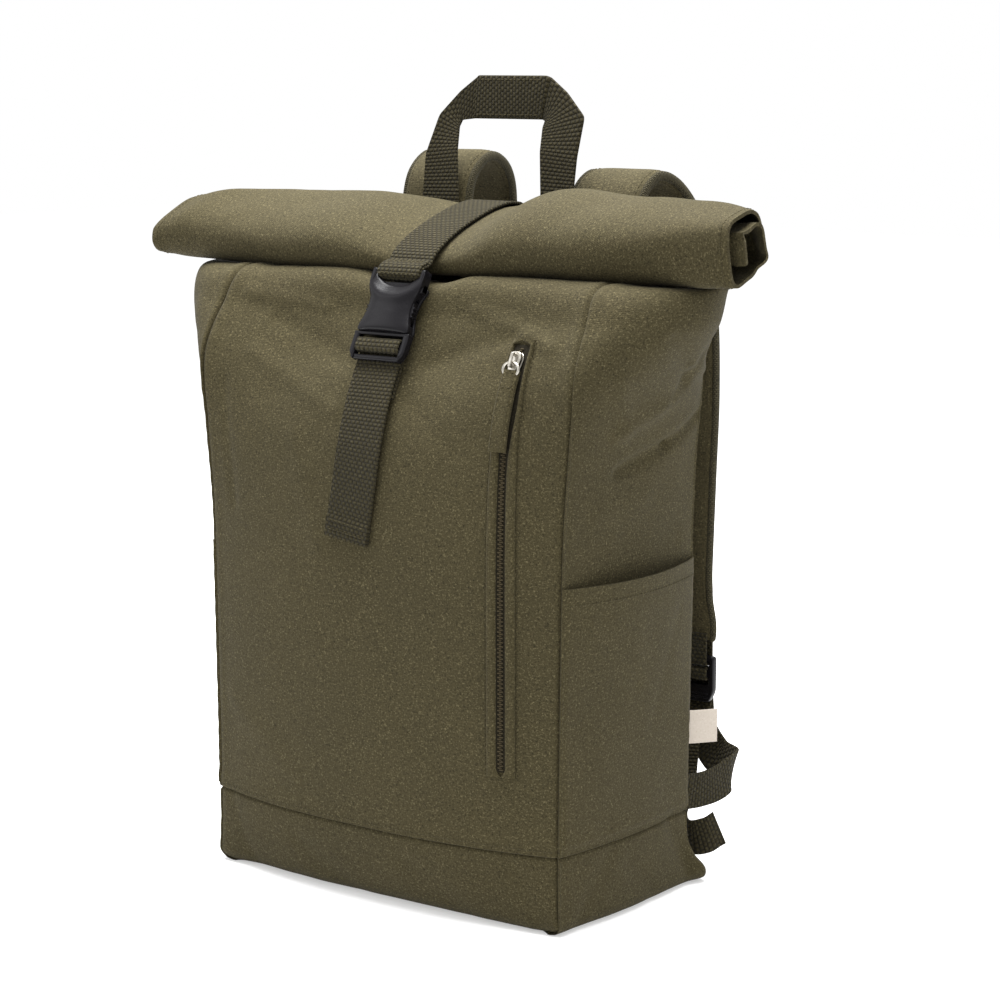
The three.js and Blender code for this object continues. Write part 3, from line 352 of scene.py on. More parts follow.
class Recipe:
    # one material, built node by node
    def __init__(self, name):
        self.material = bpy.data.materials.new(name)
        self.material.use_nodes = True
        self.tree = self.material.node_tree
        self.tree.nodes.clear()

    def node(self, kind, settings=None, inputs=None, output=0):
        made = self.tree.nodes.new(kind)
        for key, value in (settings or {}).items():
            if key == "stops":
                for element, (place, colour) in zip(made.color_ramp.elements, value):
                    element.position, element.color = place, colour
            else:
                setattr(made, key, value)
        for key, value in (inputs or {}).items():
            if isinstance(value, Wire):
                self.tree.links.new(value.socket, made.inputs[key])
            else:
                made.inputs[key].default_value = value
        return Wire(self, made.outputs[output] if len(made.outputs) else None)

    def maths(self, operation, *values):
        return self.node("ShaderNodeMath", {"operation": operation}, dict(enumerate(values)))

    def noise(self, place, scale, detail=3.0, rough=0.55):
        inputs = {"Vector": place, "Scale": scale, "Detail": detail, "Roughness": rough}
        return self.node("ShaderNodeTexNoise", {}, inputs)

    def between(self, value, low, high):
        # 0 below low, 1 above high, smooth between
        settings = {"interpolation_type": "SMOOTHSTEP"}
        return self.node("ShaderNodeMapRange", settings, {"Value": value, "From Min": low, "From Max": high})

    def tint(self, mask, first, second, blend="MIX"):
        settings = {"data_type": "RGBA", "blend_type": blend}
        return self.node("ShaderNodeMix", settings, {0: mask, 6: first, 7: second}, output=2)

    def stretched(self, place, stretch):
        return self.node("ShaderNodeVectorMath", {"operation": "MULTIPLY"}, {0: place, 1: stretch})

    def finish(self, colour, roughness, height=None, bumpDistance=0.0003, bumpStrength=1.0, **constants):
        inputs = {"Base Color": colour, "Roughness": roughness}
        if height is not None:
            settings = {"Height": height, "Distance": bumpDistance, "Strength": bumpStrength}
            inputs["Normal"] = self.node("ShaderNodeBump", {}, settings)
        inputs.update({key.replace("_", " "): value for key, value in constants.items()})
        shader = self.node("ShaderNodeBsdfPrincipled", {}, inputs)
        self.node("ShaderNodeOutputMaterial", {}, {"Surface": shader})
        return self.material


def wovenMaterial(name, look):
    # yarns cross in a plain weave; single yarns are lighter or darker, as in heather cloth
    recipe = Recipe(name)
    cut = recipe.node("ShaderNodeTexCoord", {}, {}, "UV")
    place = recipe.node("ShaderNodeTexCoord", {}, {}, "Object")
    ruler = {"Vector": cut}
    rows = recipe.node("ShaderNodeSeparateXYZ", {}, ruler, "Y") * (1 / look["rowPitch"])
    shift = recipe.maths("MODULO", recipe.maths("FLOOR", rows), 2.0) * 0.5
    columns = recipe.node("ShaderNodeSeparateXYZ", {}, ruler, "X") * (1 / look["columnPitch"]) + shift
    ridges = [recipe.maths("ABSOLUTE", recipe.maths("SINE", part * math.pi)) for part in (rows, columns)]
    weave = (ridges[0] * ridges[1]) ** 0.6
    slubAcross = recipe.noise(recipe.stretched(cut, (look["slubLong"], look["slubFine"], 1)), 1.0, 2.0, 0.6)
    slubUp = recipe.noise(recipe.stretched(cut, (look["slubFine"], look["slubLong"], 1)), 1.0, 2.0, 0.6)
    grain = recipe.noise(place, look["grain"], 2.0, 0.7)
    cloudy = recipe.noise(place, 9.0, 4.0, 0.6)
    lightGrain = recipe.between(grain, 0.56, 0.74) * look["lightGrain"]
    darkGrain = recipe.between(grain, 0.47, 0.28) * look["darkGrain"]
    light = recipe.between(slubAcross, 0.55, 0.72) * 0.6 + lightGrain
    dark = recipe.between(slubUp, 0.55, 0.72) * 0.55 + darkGrain
    base = recipe.tint(recipe.between(cloudy, 0.3, 0.7), look["shade"], look["colour"])
    base = recipe.tint(light, base, look["lightYarn"])
    base = recipe.tint(dark, base, look["darkYarn"])
    # painted shade: the gaps between the yarns are tinted towards the dark yarn
    base = recipe.tint((1 - weave) * look["weaveShade"], base, look["darkYarn"])
    height = weave * look["weaveHeight"] + grain * look["grainHeight"] + slubAcross * 0.3 + slubUp * 0.3
    roughness = 0.86 + 0.1 * cloudy
    return recipe.finish(
        base, roughness, height, look["bump"], 0.9,
        Sheen_Weight=look["sheen"], Sheen_Roughness=0.45, Specular_IOR_Level=0.12)


canvasLook = {
    "columnPitch": 0.0011, "rowPitch": 0.0011, "slubLong": 430, "slubFine": 950, "grain": 820,
    "lightGrain": 0.95, "darkGrain": 0.9,
    "colour": (0.046, 0.038, 0.0175, 1), "shade": (0.041, 0.034, 0.0155, 1),
    "lightYarn": (0.1156, 0.0979, 0.0507, 1), "darkYarn": (0.0153, 0.0127, 0.0059, 1),
    "weaveShade": 0.16, "weaveHeight": 0.35, "grainHeight": 0.6, "bump": 0.00035, "sheen": 0.02,
}
webbingLook = dict(
    canvasLook, columnPitch=0.0036, rowPitch=0.0025, slubLong=300, slubFine=700, grain=600, lightGrain=0.5,
    darkGrain=0.5, colour=(0.038, 0.032, 0.0155, 1), shade=(0.032, 0.027, 0.013, 1),
    lightYarn=(0.07, 0.06, 0.031, 1), darkYarn=(0.009, 0.0075, 0.004, 1),
    weaveShade=0.9, weaveHeight=1.6, bump=0.0008)
# painted light: the strap cloth is a lighter copy of the canvas colour, standing in for the light that falls
# on the tops of the strap loops
strapLitLook = dict(canvasLook, colour=(0.0504, 0.042, 0.0204, 1), shade=(0.0432, 0.036, 0.0174, 1))
bindingLook = dict(
    webbingLook, columnPitch=0.0016, rowPitch=0.0013, colour=(0.055, 0.048, 0.026, 1),
    shade=(0.048, 0.041, 0.022, 1), bump=0.0004)
threadLook = dict(
    canvasLook, columnPitch=0.0009, rowPitch=0.0009, colour=(0.05, 0.042, 0.021, 1),
    shade=(0.044, 0.037, 0.018, 1), weaveShade=0.4, bump=0.0002)
tapeLook = dict(
    canvasLook, columnPitch=0.001, rowPitch=0.001, colour=(0.014, 0.0115, 0.0062, 1),
    shade=(0.012, 0.01, 0.0052, 1), lightYarn=(0.024, 0.02, 0.011, 1), darkYarn=(0.006, 0.005, 0.003, 1),
    bump=0.0002)
labelLook = dict(
    canvasLook, columnPitch=0.0008, rowPitch=0.0008, lightGrain=0.2, darkGrain=0.15,
    colour=(0.49, 0.44, 0.385, 1), shade=(0.46, 0.41, 0.355, 1), lightYarn=(0.56, 0.52, 0.46, 1),
    darkYarn=(0.36, 0.31, 0.25, 1), weaveShade=0.12, bump=0.00015)


def plasticMaterial(name, look):
    # moulded plastic: a fine spark texture, faint handling marks and dust
    recipe = Recipe(name)
    place = recipe.node("ShaderNodeTexCoord", {}, {}, "Object")
    spark = recipe.noise(place, 2600.0, 2.0, 0.6)
    marks = recipe.noise(recipe.stretched(place, (60, 400, 90)), 1.0, 4.0, 0.7)
    worn = recipe.between(marks, 0.55, 0.75)
    colour = recipe.tint(worn, look["colour"], look["wornColour"])
    roughness = look["roughness"] + worn * 0.16 + spark * 0.08
    return recipe.finish(colour, roughness, spark * 0.5 + marks * 0.3, 0.00006, 0.6, Specular_IOR_Level=0.15)


def metalMaterial(name):
    # polished cast metal with fine scratches; the darker patches of its colour are painted reflections, laid
    # on the same noise that makes it rougher there
    recipe = Recipe(name)
    place = recipe.node("ShaderNodeTexCoord", {}, {}, "Object")
    scratch = recipe.noise(recipe.stretched(place, (3000, 120, 900)), 1.0, 4.0, 0.7)
    dullAndDarkReflection = recipe.noise(place, 260.0, 3.0, 0.6)
    # painted reflection: where the noise rises, the colour goes darker to stand in for dark surroundings
    # mirrored in the metal
    colour = recipe.tint(recipe.between(dullAndDarkReflection, 0.4, 0.7), (0.50, 0.475, 0.42, 1), (0.30, 0.28, 0.24, 1))
    return recipe.finish(colour, 0.16 + 0.22 * dullAndDarkReflection + 0.08 * scratch, scratch, 0.00004, 0.5, Metallic=1.0)


def floorMaterial():
    # pale seamless paper with a very slight tooth
    recipe = Recipe("paleFloor")
    place = recipe.node("ShaderNodeTexCoord", {}, {}, "Object")
    tooth = recipe.noise(place, 400.0, 3.0, 0.6)
    colour = recipe.tint(tooth, (0.60, 0.60, 0.60, 1), (0.63, 0.63, 0.63, 1))
    return recipe.finish(
        colour, 0.9 - 0.05 * tooth, tooth, 0.0001, 0.2,
        Specular_IOR_Level=0.0, Emission_Color=(1, 1, 1, 1), Emission_Strength=0.4)


finishes = {
    "canvas": wovenMaterial("canvas", canvasLook),
    "webbing": wovenMaterial("webbing", webbingLook),
    "strap_cloth": wovenMaterial("strapClothLit", strapLitLook),
    "binding": wovenMaterial("binding", bindingLook),
    "thread": wovenMaterial("thread", threadLook),
    "zip_tape": wovenMaterial("zipTape", tapeLook),
    "cream_label": wovenMaterial("creamLabel", labelLook),
    "black_plastic": plasticMaterial("blackPlastic", {
        "colour": (0.0055, 0.005, 0.006, 1), "wornColour": (0.009, 0.0085, 0.0095, 1), "roughness": 0.24}),
    "zip_coil": plasticMaterial("zipCoil", {
        "colour": (0.042, 0.032, 0.015, 1), "wornColour": (0.058, 0.046, 0.023, 1), "roughness": 0.5}),
    "silver_metal": metalMaterial("silverMetal"),
}
print("materials made")


def addPiece(name, mesh, finish, slot, *nodes):
    piece = bpy.data.objects.new(name, mesh)
    bpy.context.scene.collection.objects.link(piece)
    mesh.materials.clear()
    mesh.materials.append(finishes[finish])
    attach(piece, "root")
    if nodes:
        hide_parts(*nodes)
    return piece


def evenRows(panel, low, high, spacing):
    # table positions that are evenly spaced along the cloth
    v = np.linspace(low, high, 900)
    line = bodyPoint(panel, np.full_like(v, 0.5), v)
    length = np.concatenate([[0], np.cumsum(np.linalg.norm(np.diff(line, axis=0), axis=1))])
    count = max(int(length[-1] / spacing), 4)
    return np.interp(np.linspace(0, length[-1], count + 1), length, v)


def seamSteps(count):
    # steps across a panel that lie closer together beside the seams
    t = np.linspace(0, 1, count + 1)
    return t - 0.55 * np.sin(2 * math.pi * t) / (2 * math.pi)


bodyGrid = {"frontAcross": 130, "sideAcross": 84, "bandSpacing": 1.08, "panelSpacing": 2.4}
clothNames = {
    "front": ("front", ""), "right": ("side", "_right"), "back": ("back", ""), "left": ("side", "_left"),
}
for panel in panels:
    kind, side = clothNames[panel]
    across = seamSteps(bodyGrid["sideAcross"] if kind == "side" else bodyGrid["frontAcross"])
    for part, low, high in (("band", 0, body["bandShare"]), ("panel", body["bandShare"], 1)):
        rows = evenRows(panel, low, high, bodyGrid[f"{part}Spacing"])
        s, v = np.meshgrid(across, rows)
        outer = clothPoint(panel, s, v)
        inner = clothPoint(panel, s, v, -body["wall"])
        mesh = shellMesh(f"{panel}_{part}", outer, inner, flatUv(outer))
        addPiece(f"{panel}Cloth.{part}", mesh, "canvas", "canvas", f"{kind}_{part}{side}")
around = np.linspace(0, 1, 41)[:-1]
outline = np.concatenate([clothPoint(p, around, 0 * around, -0.6 * body["wall"]) for p in panels])
rings = np.array([outline * [share, share, 0] for share in np.linspace(1, 0.02, 26)])
lower = rings + [0, 0, 0.2]
upper = rings + [0, 0, body["wall"]]
loop = lambda grid: np.concatenate([grid, grid[:, :1]], 1)
mesh = shellMesh("base", loop(upper), loop(lower), loop(rings)[..., :2])
addPiece("baseCloth", mesh, "canvas", "canvas", "base_panel")
print("bag body made")

roll = {
    "length": 470, "depth": 100, "height": 52, "square": 0.86, "endSquare": 0.55, "turns": 1.7,
    "pitchShare": 0.27, "start": -50, "acrossSteps": 190, "turnSteps": 150, "wall": 1.5,
    "hem": 7, "hemLift": 0.4,
    "wrinkle": 1.5, "fineWrinkle": 0.6, "gather": 1.5, "lay": -0.35, "sag": 6.0,
    "innerReach": 6.0, "reachNoise": 3, "crumple": -4, "tuck": -6, "leftLean": 12.0,
}
rollColumns = ["along", "forward", "up", "depth", "height", "tilt"]
rollRows = [
    [-1.000, 0.36, 0.540, 0.52, 0.45, 36],
    [-0.930, 0.24, 0.552, 0.62, 0.74, 29],
    [-0.780, 0.08, 0.545, 0.80, 0.83, 22],
    [-0.550, 0.00, 0.525, 0.98, 0.87, 18],
    [-0.300, -0.04, 0.525, 1.06, 0.87, 16],
    [-0.085, -0.06, 0.450, 1.06, 0.62, 19],
    [0.085, -0.06, 0.450, 1.06, 0.62, 19],
    [0.260, -0.04, 0.575, 1.04, 0.99, 16],
    [0.500, -0.04, 0.588, 0.98, 1.03, 15],
    [0.740, -0.02, 0.572, 0.80, 1.00, 15],
    [0.900, 0.04, 0.560, 0.56, 0.93, 15],
    [0.960, 0.12, 0.560, 0.42, 0.90, 15],
]


def rollAt(x):
    # every column follows a smooth curve through its rows
    values = np.array(rollRows, float)
    along = values[:, 0]
    slopes = np.gradient(values, along, axis=0)
    place = np.clip(np.asarray(x, float) / (roll["length"] / 2), along[0], along[-1])
    k = np.clip(np.searchsorted(along, place) - 1, 0, len(along) - 2)
    gap = (along[k + 1] - along[k])[..., None]
    t = ((place - along[k]) / gap[..., 0])[..., None]
    start = (2 * t ** 3 - 3 * t ** 2 + 1) * values[k] + (t ** 3 - 2 * t ** 2 + t) * gap * slopes[k]
    result = start + (3 * t ** 2 - 2 * t ** 3) * values[k + 1] + (t ** 3 - t ** 2) * gap * slopes[k + 1]
    return {name: result[..., j] for j, name in enumerate(rollColumns)}


def rollPoint(x, angle, shrink, inset):
    x, angle = np.broadcast_arrays(np.asarray(x, float), np.asarray(angle, float))
    row = rollAt(x)
    # the right end is pressed flatter than the rest
    power = roll["square"] + (roll["endSquare"] - roll["square"]) * smoothStep(140, 215, x)
    square = lambda value: np.sign(value) * np.abs(value) ** power
    out = (row["depth"] * roll["depth"] / 2 * shrink - inset) * square(np.cos(angle))
    up = (row["height"] * roll["height"] / 2 * shrink - inset) * square(np.sin(angle))
    tilt = np.radians(row["tilt"])
    y = -row["forward"] * roll["depth"] / 2 + out * np.cos(tilt) - up * np.sin(tilt)
    z = body["mouthHeight"] + row["up"] * roll["height"] + out * np.sin(tilt) + up * np.cos(tilt)
    return np.stack([x, y, z], -1)


def rollRelief(x, turn, point):
    # long soft wrinkles, pulled together under the strap and crisp near the ends
    free = smoothStep(19, 40, np.abs(x))
    place = np.stack([x / 46, turn * 5.2, 0 * x], -1)
    long = softNoise(place, 1.0, 2.2) * roll["wrinkle"]
    long = long + softNoise(place * [2.1, 2.0, 1], 1.0, 5.1) * roll["fineWrinkle"]
    pull = np.stack([np.abs(x) / 60, turn * 11, 0 * x], -1)
    gathered = softNoise(pull, 1.0, 8.4) * roll["gather"] * bell(np.abs(x) - 34, 26)
    sag = roll["sag"] * bell(turn - 0.80, 0.13) * smoothStep(16, 60, np.abs(x))
    return (long + gathered + softNoise(point, 12, 4.4) * 0.2) * free + roll["lay"] + sag


rollX = np.linspace(rollRows[0][0], rollRows[-1][0], roll["acrossSteps"] + 1) * roll["length"] / 2
rollTurn = np.linspace(0, roll["turns"], roll["turnSteps"] + 1)
turnGrid, xGrid = np.meshgrid(rollTurn, rollX)
angle = np.radians(roll["start"] + 360 * turnGrid)
shrink = 1 - roll["pitchShare"] * turnGrid
plain = rollPoint(xGrid, angle, shrink, 0)
deep = rollPoint(xGrid, angle, shrink, 2.4)
outward = unit(plain - deep)
lift = rollRelief(xGrid, turnGrid, plain)
ends = np.minimum(xGrid - rollX[0], rollX[-1] - xGrid)
hemLift = roll["hemLift"] * (1 - smoothStep(roll["hem"], roll["hem"] + 1.2, ends))
lift = lift * np.minimum(1, shrink - 0.1)
outer = plain + outward * (lift + hemLift)[..., None]
inner = plain + outward * (lift - hemLift - roll["wall"])[..., None]
# the inner wraps stand a little further out at the right end, crumpled
endNoise = softNoise(np.stack([turnGrid * 4, 0 * xGrid, 0 * xGrid], -1), 1.0, 6.4)
reach = (roll["innerReach"] + roll["reachNoise"] * endNoise) * smoothStep(150, 226, xGrid)
reach = reach * smoothStep(0.95, 1.1, turnGrid)
crumple = roll["crumple"] * np.abs(softNoise(np.stack([xGrid / 16, turnGrid * 7, 0 * xGrid], -1), 1.0, 9.2))
crumple = crumple * smoothStep(1.0, 1.15, turnGrid) * smoothStep(120, 215, np.abs(xGrid))
# the cloth's lower edge tucks in where it leaves the mouth of the bag
tuck = roll["tuck"] * smoothStep(0.12, 0, turnGrid) * smoothStep(185, 222, np.abs(xGrid))
leftEnd = smoothStep(150, 232, -xGrid)
rollMiddle = outer[..., 2].mean()
for grid in (outer, inner):
    grid += outward * (crumple + tuck)[..., None]
    height = np.clip((grid[..., 2] - rollMiddle) / (roll["height"] / 2), -0.2, 1)
    grid[..., 0] += reach + roll["leftLean"] * leftEnd * height
rolledMesh = shellMesh("rolledTop", outer, inner, flatUv(outer))
addPiece("rolledTop", rolledMesh, "canvas", "canvas", "rolled_top")
print("rolled mouth made")

seamRows = []
for column in (2, roll["acrossSteps"] - 2):
    ring = slice(4, int(0.98 / roll["turns"] * roll["turnSteps"]))
    seamRows.append((outer[column, ring] + outward[column, ring] * 0.1, outward[column, ring]))
stitch = {"pitch": 3.4, "length": 2.5, "radius": 0.42}


def walkLine(points, normals, pitch):
    length = np.concatenate([[0], np.cumsum(np.linalg.norm(np.diff(points, axis=0), axis=1))])
    count = max(int(length[-1] / pitch), 1)
    places = (np.arange(count) + 0.5) * length[-1] / count
    at = lambda values, where: np.stack([np.interp(where, length, values[:, k]) for k in range(3)], -1)
    centre = at(points, places)
    along = unit(at(points, places + 0.4) - at(points, places - 0.4))
    return centre, along, unit(at(normals, places))


def stitchMesh(name, lines, size=None):
    # each stitch is a small plump spindle that lies along its line
    size = size or stitch
    sides, rings = 6, [(-1.0, 0.3), (-0.6, 0.9), (0.0, 1.0), (0.6, 0.9), (1.0, 0.3)]
    template = []
    for along, wide in rings:
        for k in range(sides):
            turn = 2 * math.pi * k / sides
            template.append((along, wide * math.cos(turn), wide * math.sin(turn)))
    template = np.array(template) * [size["length"] / 2, size["radius"], size["radius"] * 0.8]
    cells = gridFaces(len(rings), sides, wrap=True)
    ends = [list(range(sides))[::-1], list(range(len(template) - sides, len(template)))]
    points, faces, uvs = [], [], []
    for line, normals in lines:
        centre, along, normal = walkLine(np.asarray(line, float), np.asarray(normals, float), size["pitch"])
        acrossLine = unit(np.cross(normal, along))
        basis = np.stack([along, acrossLine, normal], 1)
        placed = centre[:, None] + np.einsum("kc,ncd->nkd", template, basis)
        for one in placed:
            start = len(points)
            points.extend(one)
            uvs.extend(template[:, :2])
            faces += [[start + k for k in face] for face in cells + ends]
    return makeMesh(name, np.array(points), faces, np.array(uvs), 70, tidy=False)


addPiece("rollStitches", stitchMesh("rollStitches", seamRows), "thread", "canvas")


def panelLine(panel, s, v, distance):
    s, v = np.broadcast_arrays(np.asarray(s, float), np.asarray(v, float))
    return clothPoint(panel, s, v, distance), bodyNormal(panel, s, v)


bandStitchV = rowAtHeight(bodyRows[3][0] * body["mouthHeight"] + 3.2)
s = np.linspace(0.012, 0.988, 120)
bandLines = [panelLine(panel, s, bandStitchV, 0.1) for panel in panels]
addPiece("bandStitches", stitchMesh("bandStitches", bandLines), "thread", "canvas")

pocket = {
    "top": 0.555 * body["mouthHeight"], "wall": 1.1, "edgeWall": 0.4, "mouthGap": 9, "edgeShare": 0.02,
    "hem": 12, "hemLift": 0.22, "stitchDrop": 10.5, "steps": 84,
    "dents": [(-50, 200, -10, 150, -1.2, 8), (40, 190, 10, 120, -0.9, 9)],
}
pocketLow = body["bandShare"] + 0.004
pocketHigh = rowAtHeight(pocket["top"])
pocketLines = []
for panel in ("right", "left"):
    s, v = np.meshgrid(pocket["edgeShare"] + (1 - 2 * pocket["edgeShare"]) * seamSteps(pocket["steps"]),
                       np.linspace(pocketLow, pocketHigh, pocket["steps"]))
    rise = np.maximum((v - pocketLow) / (pocketHigh - pocketLow), 0)
    base = bodyPoint(panel, s, v)
    gap = restGap + pocket["mouthGap"] * np.sin(math.pi * s) ** 2 * rise ** 3
    wrinkle = softNoise(base, 34, 6.1) * 0.7 + softNoise(base, 14, 2.7) * 0.25
    wrinkle += foldDepth(base[..., 1], base[..., 2], pocket["dents"])
    below = pocket["top"] - base[..., 2]
    hem = pocket["hemLift"] * (1 - smoothStep(pocket["hem"], pocket["hem"] + 1, below))
    normal = bodyNormal(panel, s, v)
    inner = clothPoint(panel, s, v, 0) + normal * gap[..., None]
    inside = smoothStep(0.01, 0.12, np.minimum(s, 1 - s)) * smoothStep(0, 0.05, rise)
    push = np.maximum(wrinkle + 0.9, 0.2) * inside
    inner = inner + normal * (push * 0.6 - 0.5 * restGap * (1 - inside))[..., None]
    thick = pocket["edgeWall"] + (pocket["wall"] - pocket["edgeWall"]) * inside
    outer = inner + normal * (thick + hem * inside)[..., None]
    name = f"{panel}Pocket"
    addPiece(name, shellMesh(name, outer, inner, flatUv(outer)), "canvas", "canvas", f"side_pocket_{panel}")
    row = int(np.argmin(np.abs(below[:, pocket["steps"] // 2] - pocket["stitchDrop"])))
    pocketLines.append((outer[row, 2:-2] + 0.1 * normal[row, 2:-2], normal[row, 2:-2]))
addPiece("pocketStitches", stitchMesh("pocketStitches", pocketLines), "thread", "canvas")
print("side pockets made")


def smoothLine(points, count):
    # even steps by index on a centripetal curve through the points
    points = np.array(points, float)
    padded = np.vstack([2 * points[0] - points[1], points, 2 * points[-1] - points[-2]])
    place = np.linspace(0, len(points) - 1, count)
    index = np.minimum(place.astype(int), len(points) - 2)
    t = (place - index)[:, None]
    p0, p1, p2, p3 = (padded[index + k] for k in range(4))
    gap = lambda a, b: np.sum((a - b) ** 2, 1, keepdims=True) ** 0.25
    d1 = gap(p1, p2)
    d1 = np.where(d1 < 1e-4, 1.0, d1)
    d0, d2 = gap(p0, p1), gap(p2, p3)
    d0, d2 = np.where(d0 < 1e-4, d1, d0), np.where(d2 < 1e-4, d1, d2)
    m1 = ((p1 - p0) / d0 - (p2 - p0) / (d0 + d1) + (p2 - p1) / d1) * d1
    m2 = ((p2 - p1) / d1 - (p3 - p1) / (d1 + d2) + (p3 - p2) / d2) * d1
    return (2 * p1 - 2 * p2 + m1 + m2) * t ** 3 + (-3 * p1 + 3 * p2 - 2 * m1 - m2) * t ** 2 + m1 * t + p1


def strapFrame(centre, across):
    along = unit(np.gradient(centre, axis=0))
    out = unit(np.cross(along, np.broadcast_to(across, centre.shape)))
    return along, out, unit(np.cross(out, along))


def strapSection(steps=8):
    # half of a flat woven edge: rounded ends, shares of half the width and half the thickness
    side = np.linspace(-1, 1, steps)
    ring = [(a * 0.97, 1) for a in side] + [(1.0, 0.45), (1.0, -0.45)]
    ring += [(a * 0.97, -1) for a in side[::-1]] + [(-1.0, -0.45), (-1.0, 0.45)]
    return np.array(ring)


def sweepMesh(name, centre, across, halfWidth, halfThick, section, wobble=None):
    along, out, sideways = strapFrame(centre, across)
    wide = np.broadcast_to(np.asarray(halfWidth, float), (len(centre),))[:, None, None]
    thick = np.broadcast_to(np.asarray(halfThick, float), (len(centre),))[:, None, None]
    points = centre[:, None] + section[None, :, :1] * wide * sideways[:, None]
    points = points + section[None, :, 1:] * thick * out[:, None]
    if wobble is not None:
        points = points + out[:, None] * wobble(points)[..., None]
    rows, cols = points.shape[:2]
    length = np.concatenate([[0], np.cumsum(np.linalg.norm(np.diff(centre, axis=0), axis=1))])
    uv = np.stack(np.broadcast_arrays(section[None, :, 0] * wide[..., 0], length[:, None]), -1)
    faces = gridFaces(rows, cols, wrap=True)
    faces += [list(range(cols)), list(range((rows - 1) * cols, rows * cols))[::-1]]
    return makeMesh(name, points, faces, uv)


def edgeLines(centre, across, halfWidth, halfThick, share, faces=(1,)):
    # stitch lines that run beside the edges of a strap
    along, out, sideways = strapFrame(centre, across)
    wide = np.broadcast_to(np.asarray(halfWidth, float), (len(centre),))[:, None]
    thick = np.broadcast_to(np.asarray(halfThick, float), (len(centre),))[:, None]
    lines = []
    for face in faces:
        for a in (-share, share):
            lines.append((centre + sideways * a * wide + out * face * (thick + 0.05), out * face))
    return lines


def crossLines(centre, across, halfWidth, halfThick, places, face=1, share=0.8):
    # stitch lines across a strap at chosen stations
    along, out, sideways = strapFrame(centre, across)
    span = np.linspace(-share, share, 9)[:, None] * halfWidth
    lines = []
    for k in places:
        line = centre[k] + sideways[k] * span + out[k] * face * (halfThick + 0.05)
        lines.append((line, np.repeat(out[k:k + 1] * face, len(span), 0)))
    return lines


handle = {"spread": 98, "height": body["mouthHeight"] + 130, "shift": -12.5, "lean": 12,
          "end": 0.935 * body["mouthHeight"], "thick": 2.2, "steps": 400, "topStep": 1.3}
handleRows = [
    [0.00, 1.30, 1.25, 0.000, 0.68, 0.74, 0.00],
    [0.24, 1.30, 1.25, 0.240, 0.68, 0.74, 0.00],
    [0.47, 1.31, 1.25, 0.470, 0.69, 0.73, 0.10],
    [0.66, 1.30, 1.28, 0.680, 0.75, 0.67, 0.35],
    [0.83, 1.11, 1.35, 0.780, 0.77, 0.66, 0.65],
    [0.93, 0.79, 1.03, 0.808, 0.75, 0.67, 0.85],
    [1.00, 0.48, 0.70, 0.815, 0.55, 0.60, 1.00],
    [1.00, 0.16, 0.20, 0.815, 0.16, 0.20, 1.00],
]
backSeat = float(bodyPoint("back", 0.5, rowAtHeight(handle["end"]))[1])
handlePlane = backSeat + restGap + webbingSize["thick"] / 2
outerEdge, innerEdge = [], []
rise = handle["height"] - handle["end"]
for side, outColumn, inColumn in ((-1, 1, 4), (1, 2, 5)):
    outs, ins = [], []
    for row in handleRows:
        y = handlePlane + row[6] * handle["lean"]
        for line, share, up in ((outs, row[outColumn], row[0]), (ins, row[inColumn], row[3])):
            x = handle["shift"] + side * share * handle["spread"] / 2
            line.append([x, y, handle["end"] + up * rise])
    outerEdge += outs if side < 0 else outs[::-1]
    innerEdge += ins if side < 0 else ins[::-1]
easing = np.hanning(11)[1:-1] / np.hanning(11).sum()


def easedEdge(edge):
    # straight runs between the corners, which are slightly eased
    dense = np.linspace(0, len(edge) - 1, handle["steps"])
    columns = [np.interp(dense, range(len(edge)), column) for column in np.array(edge).T]
    padded = [np.pad(column, len(easing) // 2, mode="reflect", reflect_type="odd") for column in columns]
    return np.stack([np.convolve(column, easing, "valid") for column in padded], -1)


edgeA, edgeB = easedEdge(outerEdge), easedEdge(innerEdge)
middle = (edgeA + edgeB) / 2
handleWide = np.linalg.norm(edgeA - edgeB, axis=1)
acrossHandle = unit(edgeB - edgeA)
alongHandle = unit(np.gradient(middle, axis=0))
outHandle = unit(np.cross(alongHandle, acrossHandle))
section = strapSection(steps=14)
# the top run of the handle lies in front of the two legs that fold under it
station = np.arange(handle["steps"])
topRun = handle["topStep"] * smoothStep(157, 160, station) * (1 - smoothStep(240, 243, station))
wave = 0.5 * np.sin(np.linspace(0, 9, handle["steps"]))[:, None]
bow = wave * (1 - section[None, :, 0] ** 2) - topRun[:, None]
points = middle[:, None] + section[None, :, :1] * handleWide[:, None, None] / 2 * acrossHandle[:, None]
points = points + (section[None, :, 1:] * handle["thick"] / 2 + bow[..., None]) * outHandle[:, None]
length = np.concatenate([[0], np.cumsum(np.linalg.norm(np.diff(middle, axis=0), axis=1))])
uv = np.stack(np.broadcast_arrays(section[None, :, 0] * handleWide[:, None] / 2, length[:, None]), -1)
last = (handle["steps"] - 1) * len(section)
faces = gridFaces(handle["steps"], len(section), wrap=True)
faces += [list(range(len(section))), list(range(last, last + len(section)))[::-1]]
addPiece("grabHandle", makeMesh("grabHandle", points, faces, uv), "webbing", "webbing", "grab_handle")
handleLines = []
for face in (-1, 1):
    for a in (-0.8, 0.8):
        line = middle + acrossHandle * (a * handleWide / 2)[:, None]
        line = line + outHandle * (face * (handle["thick"] / 2 + 0.1) - topRun)[:, None]
        handleLines.append((line[164:236], outHandle[164:236] * face))
addPiece("handleStitches", stitchMesh("handleStitches", handleLines), "thread", "webbing")
print("grab handle made")

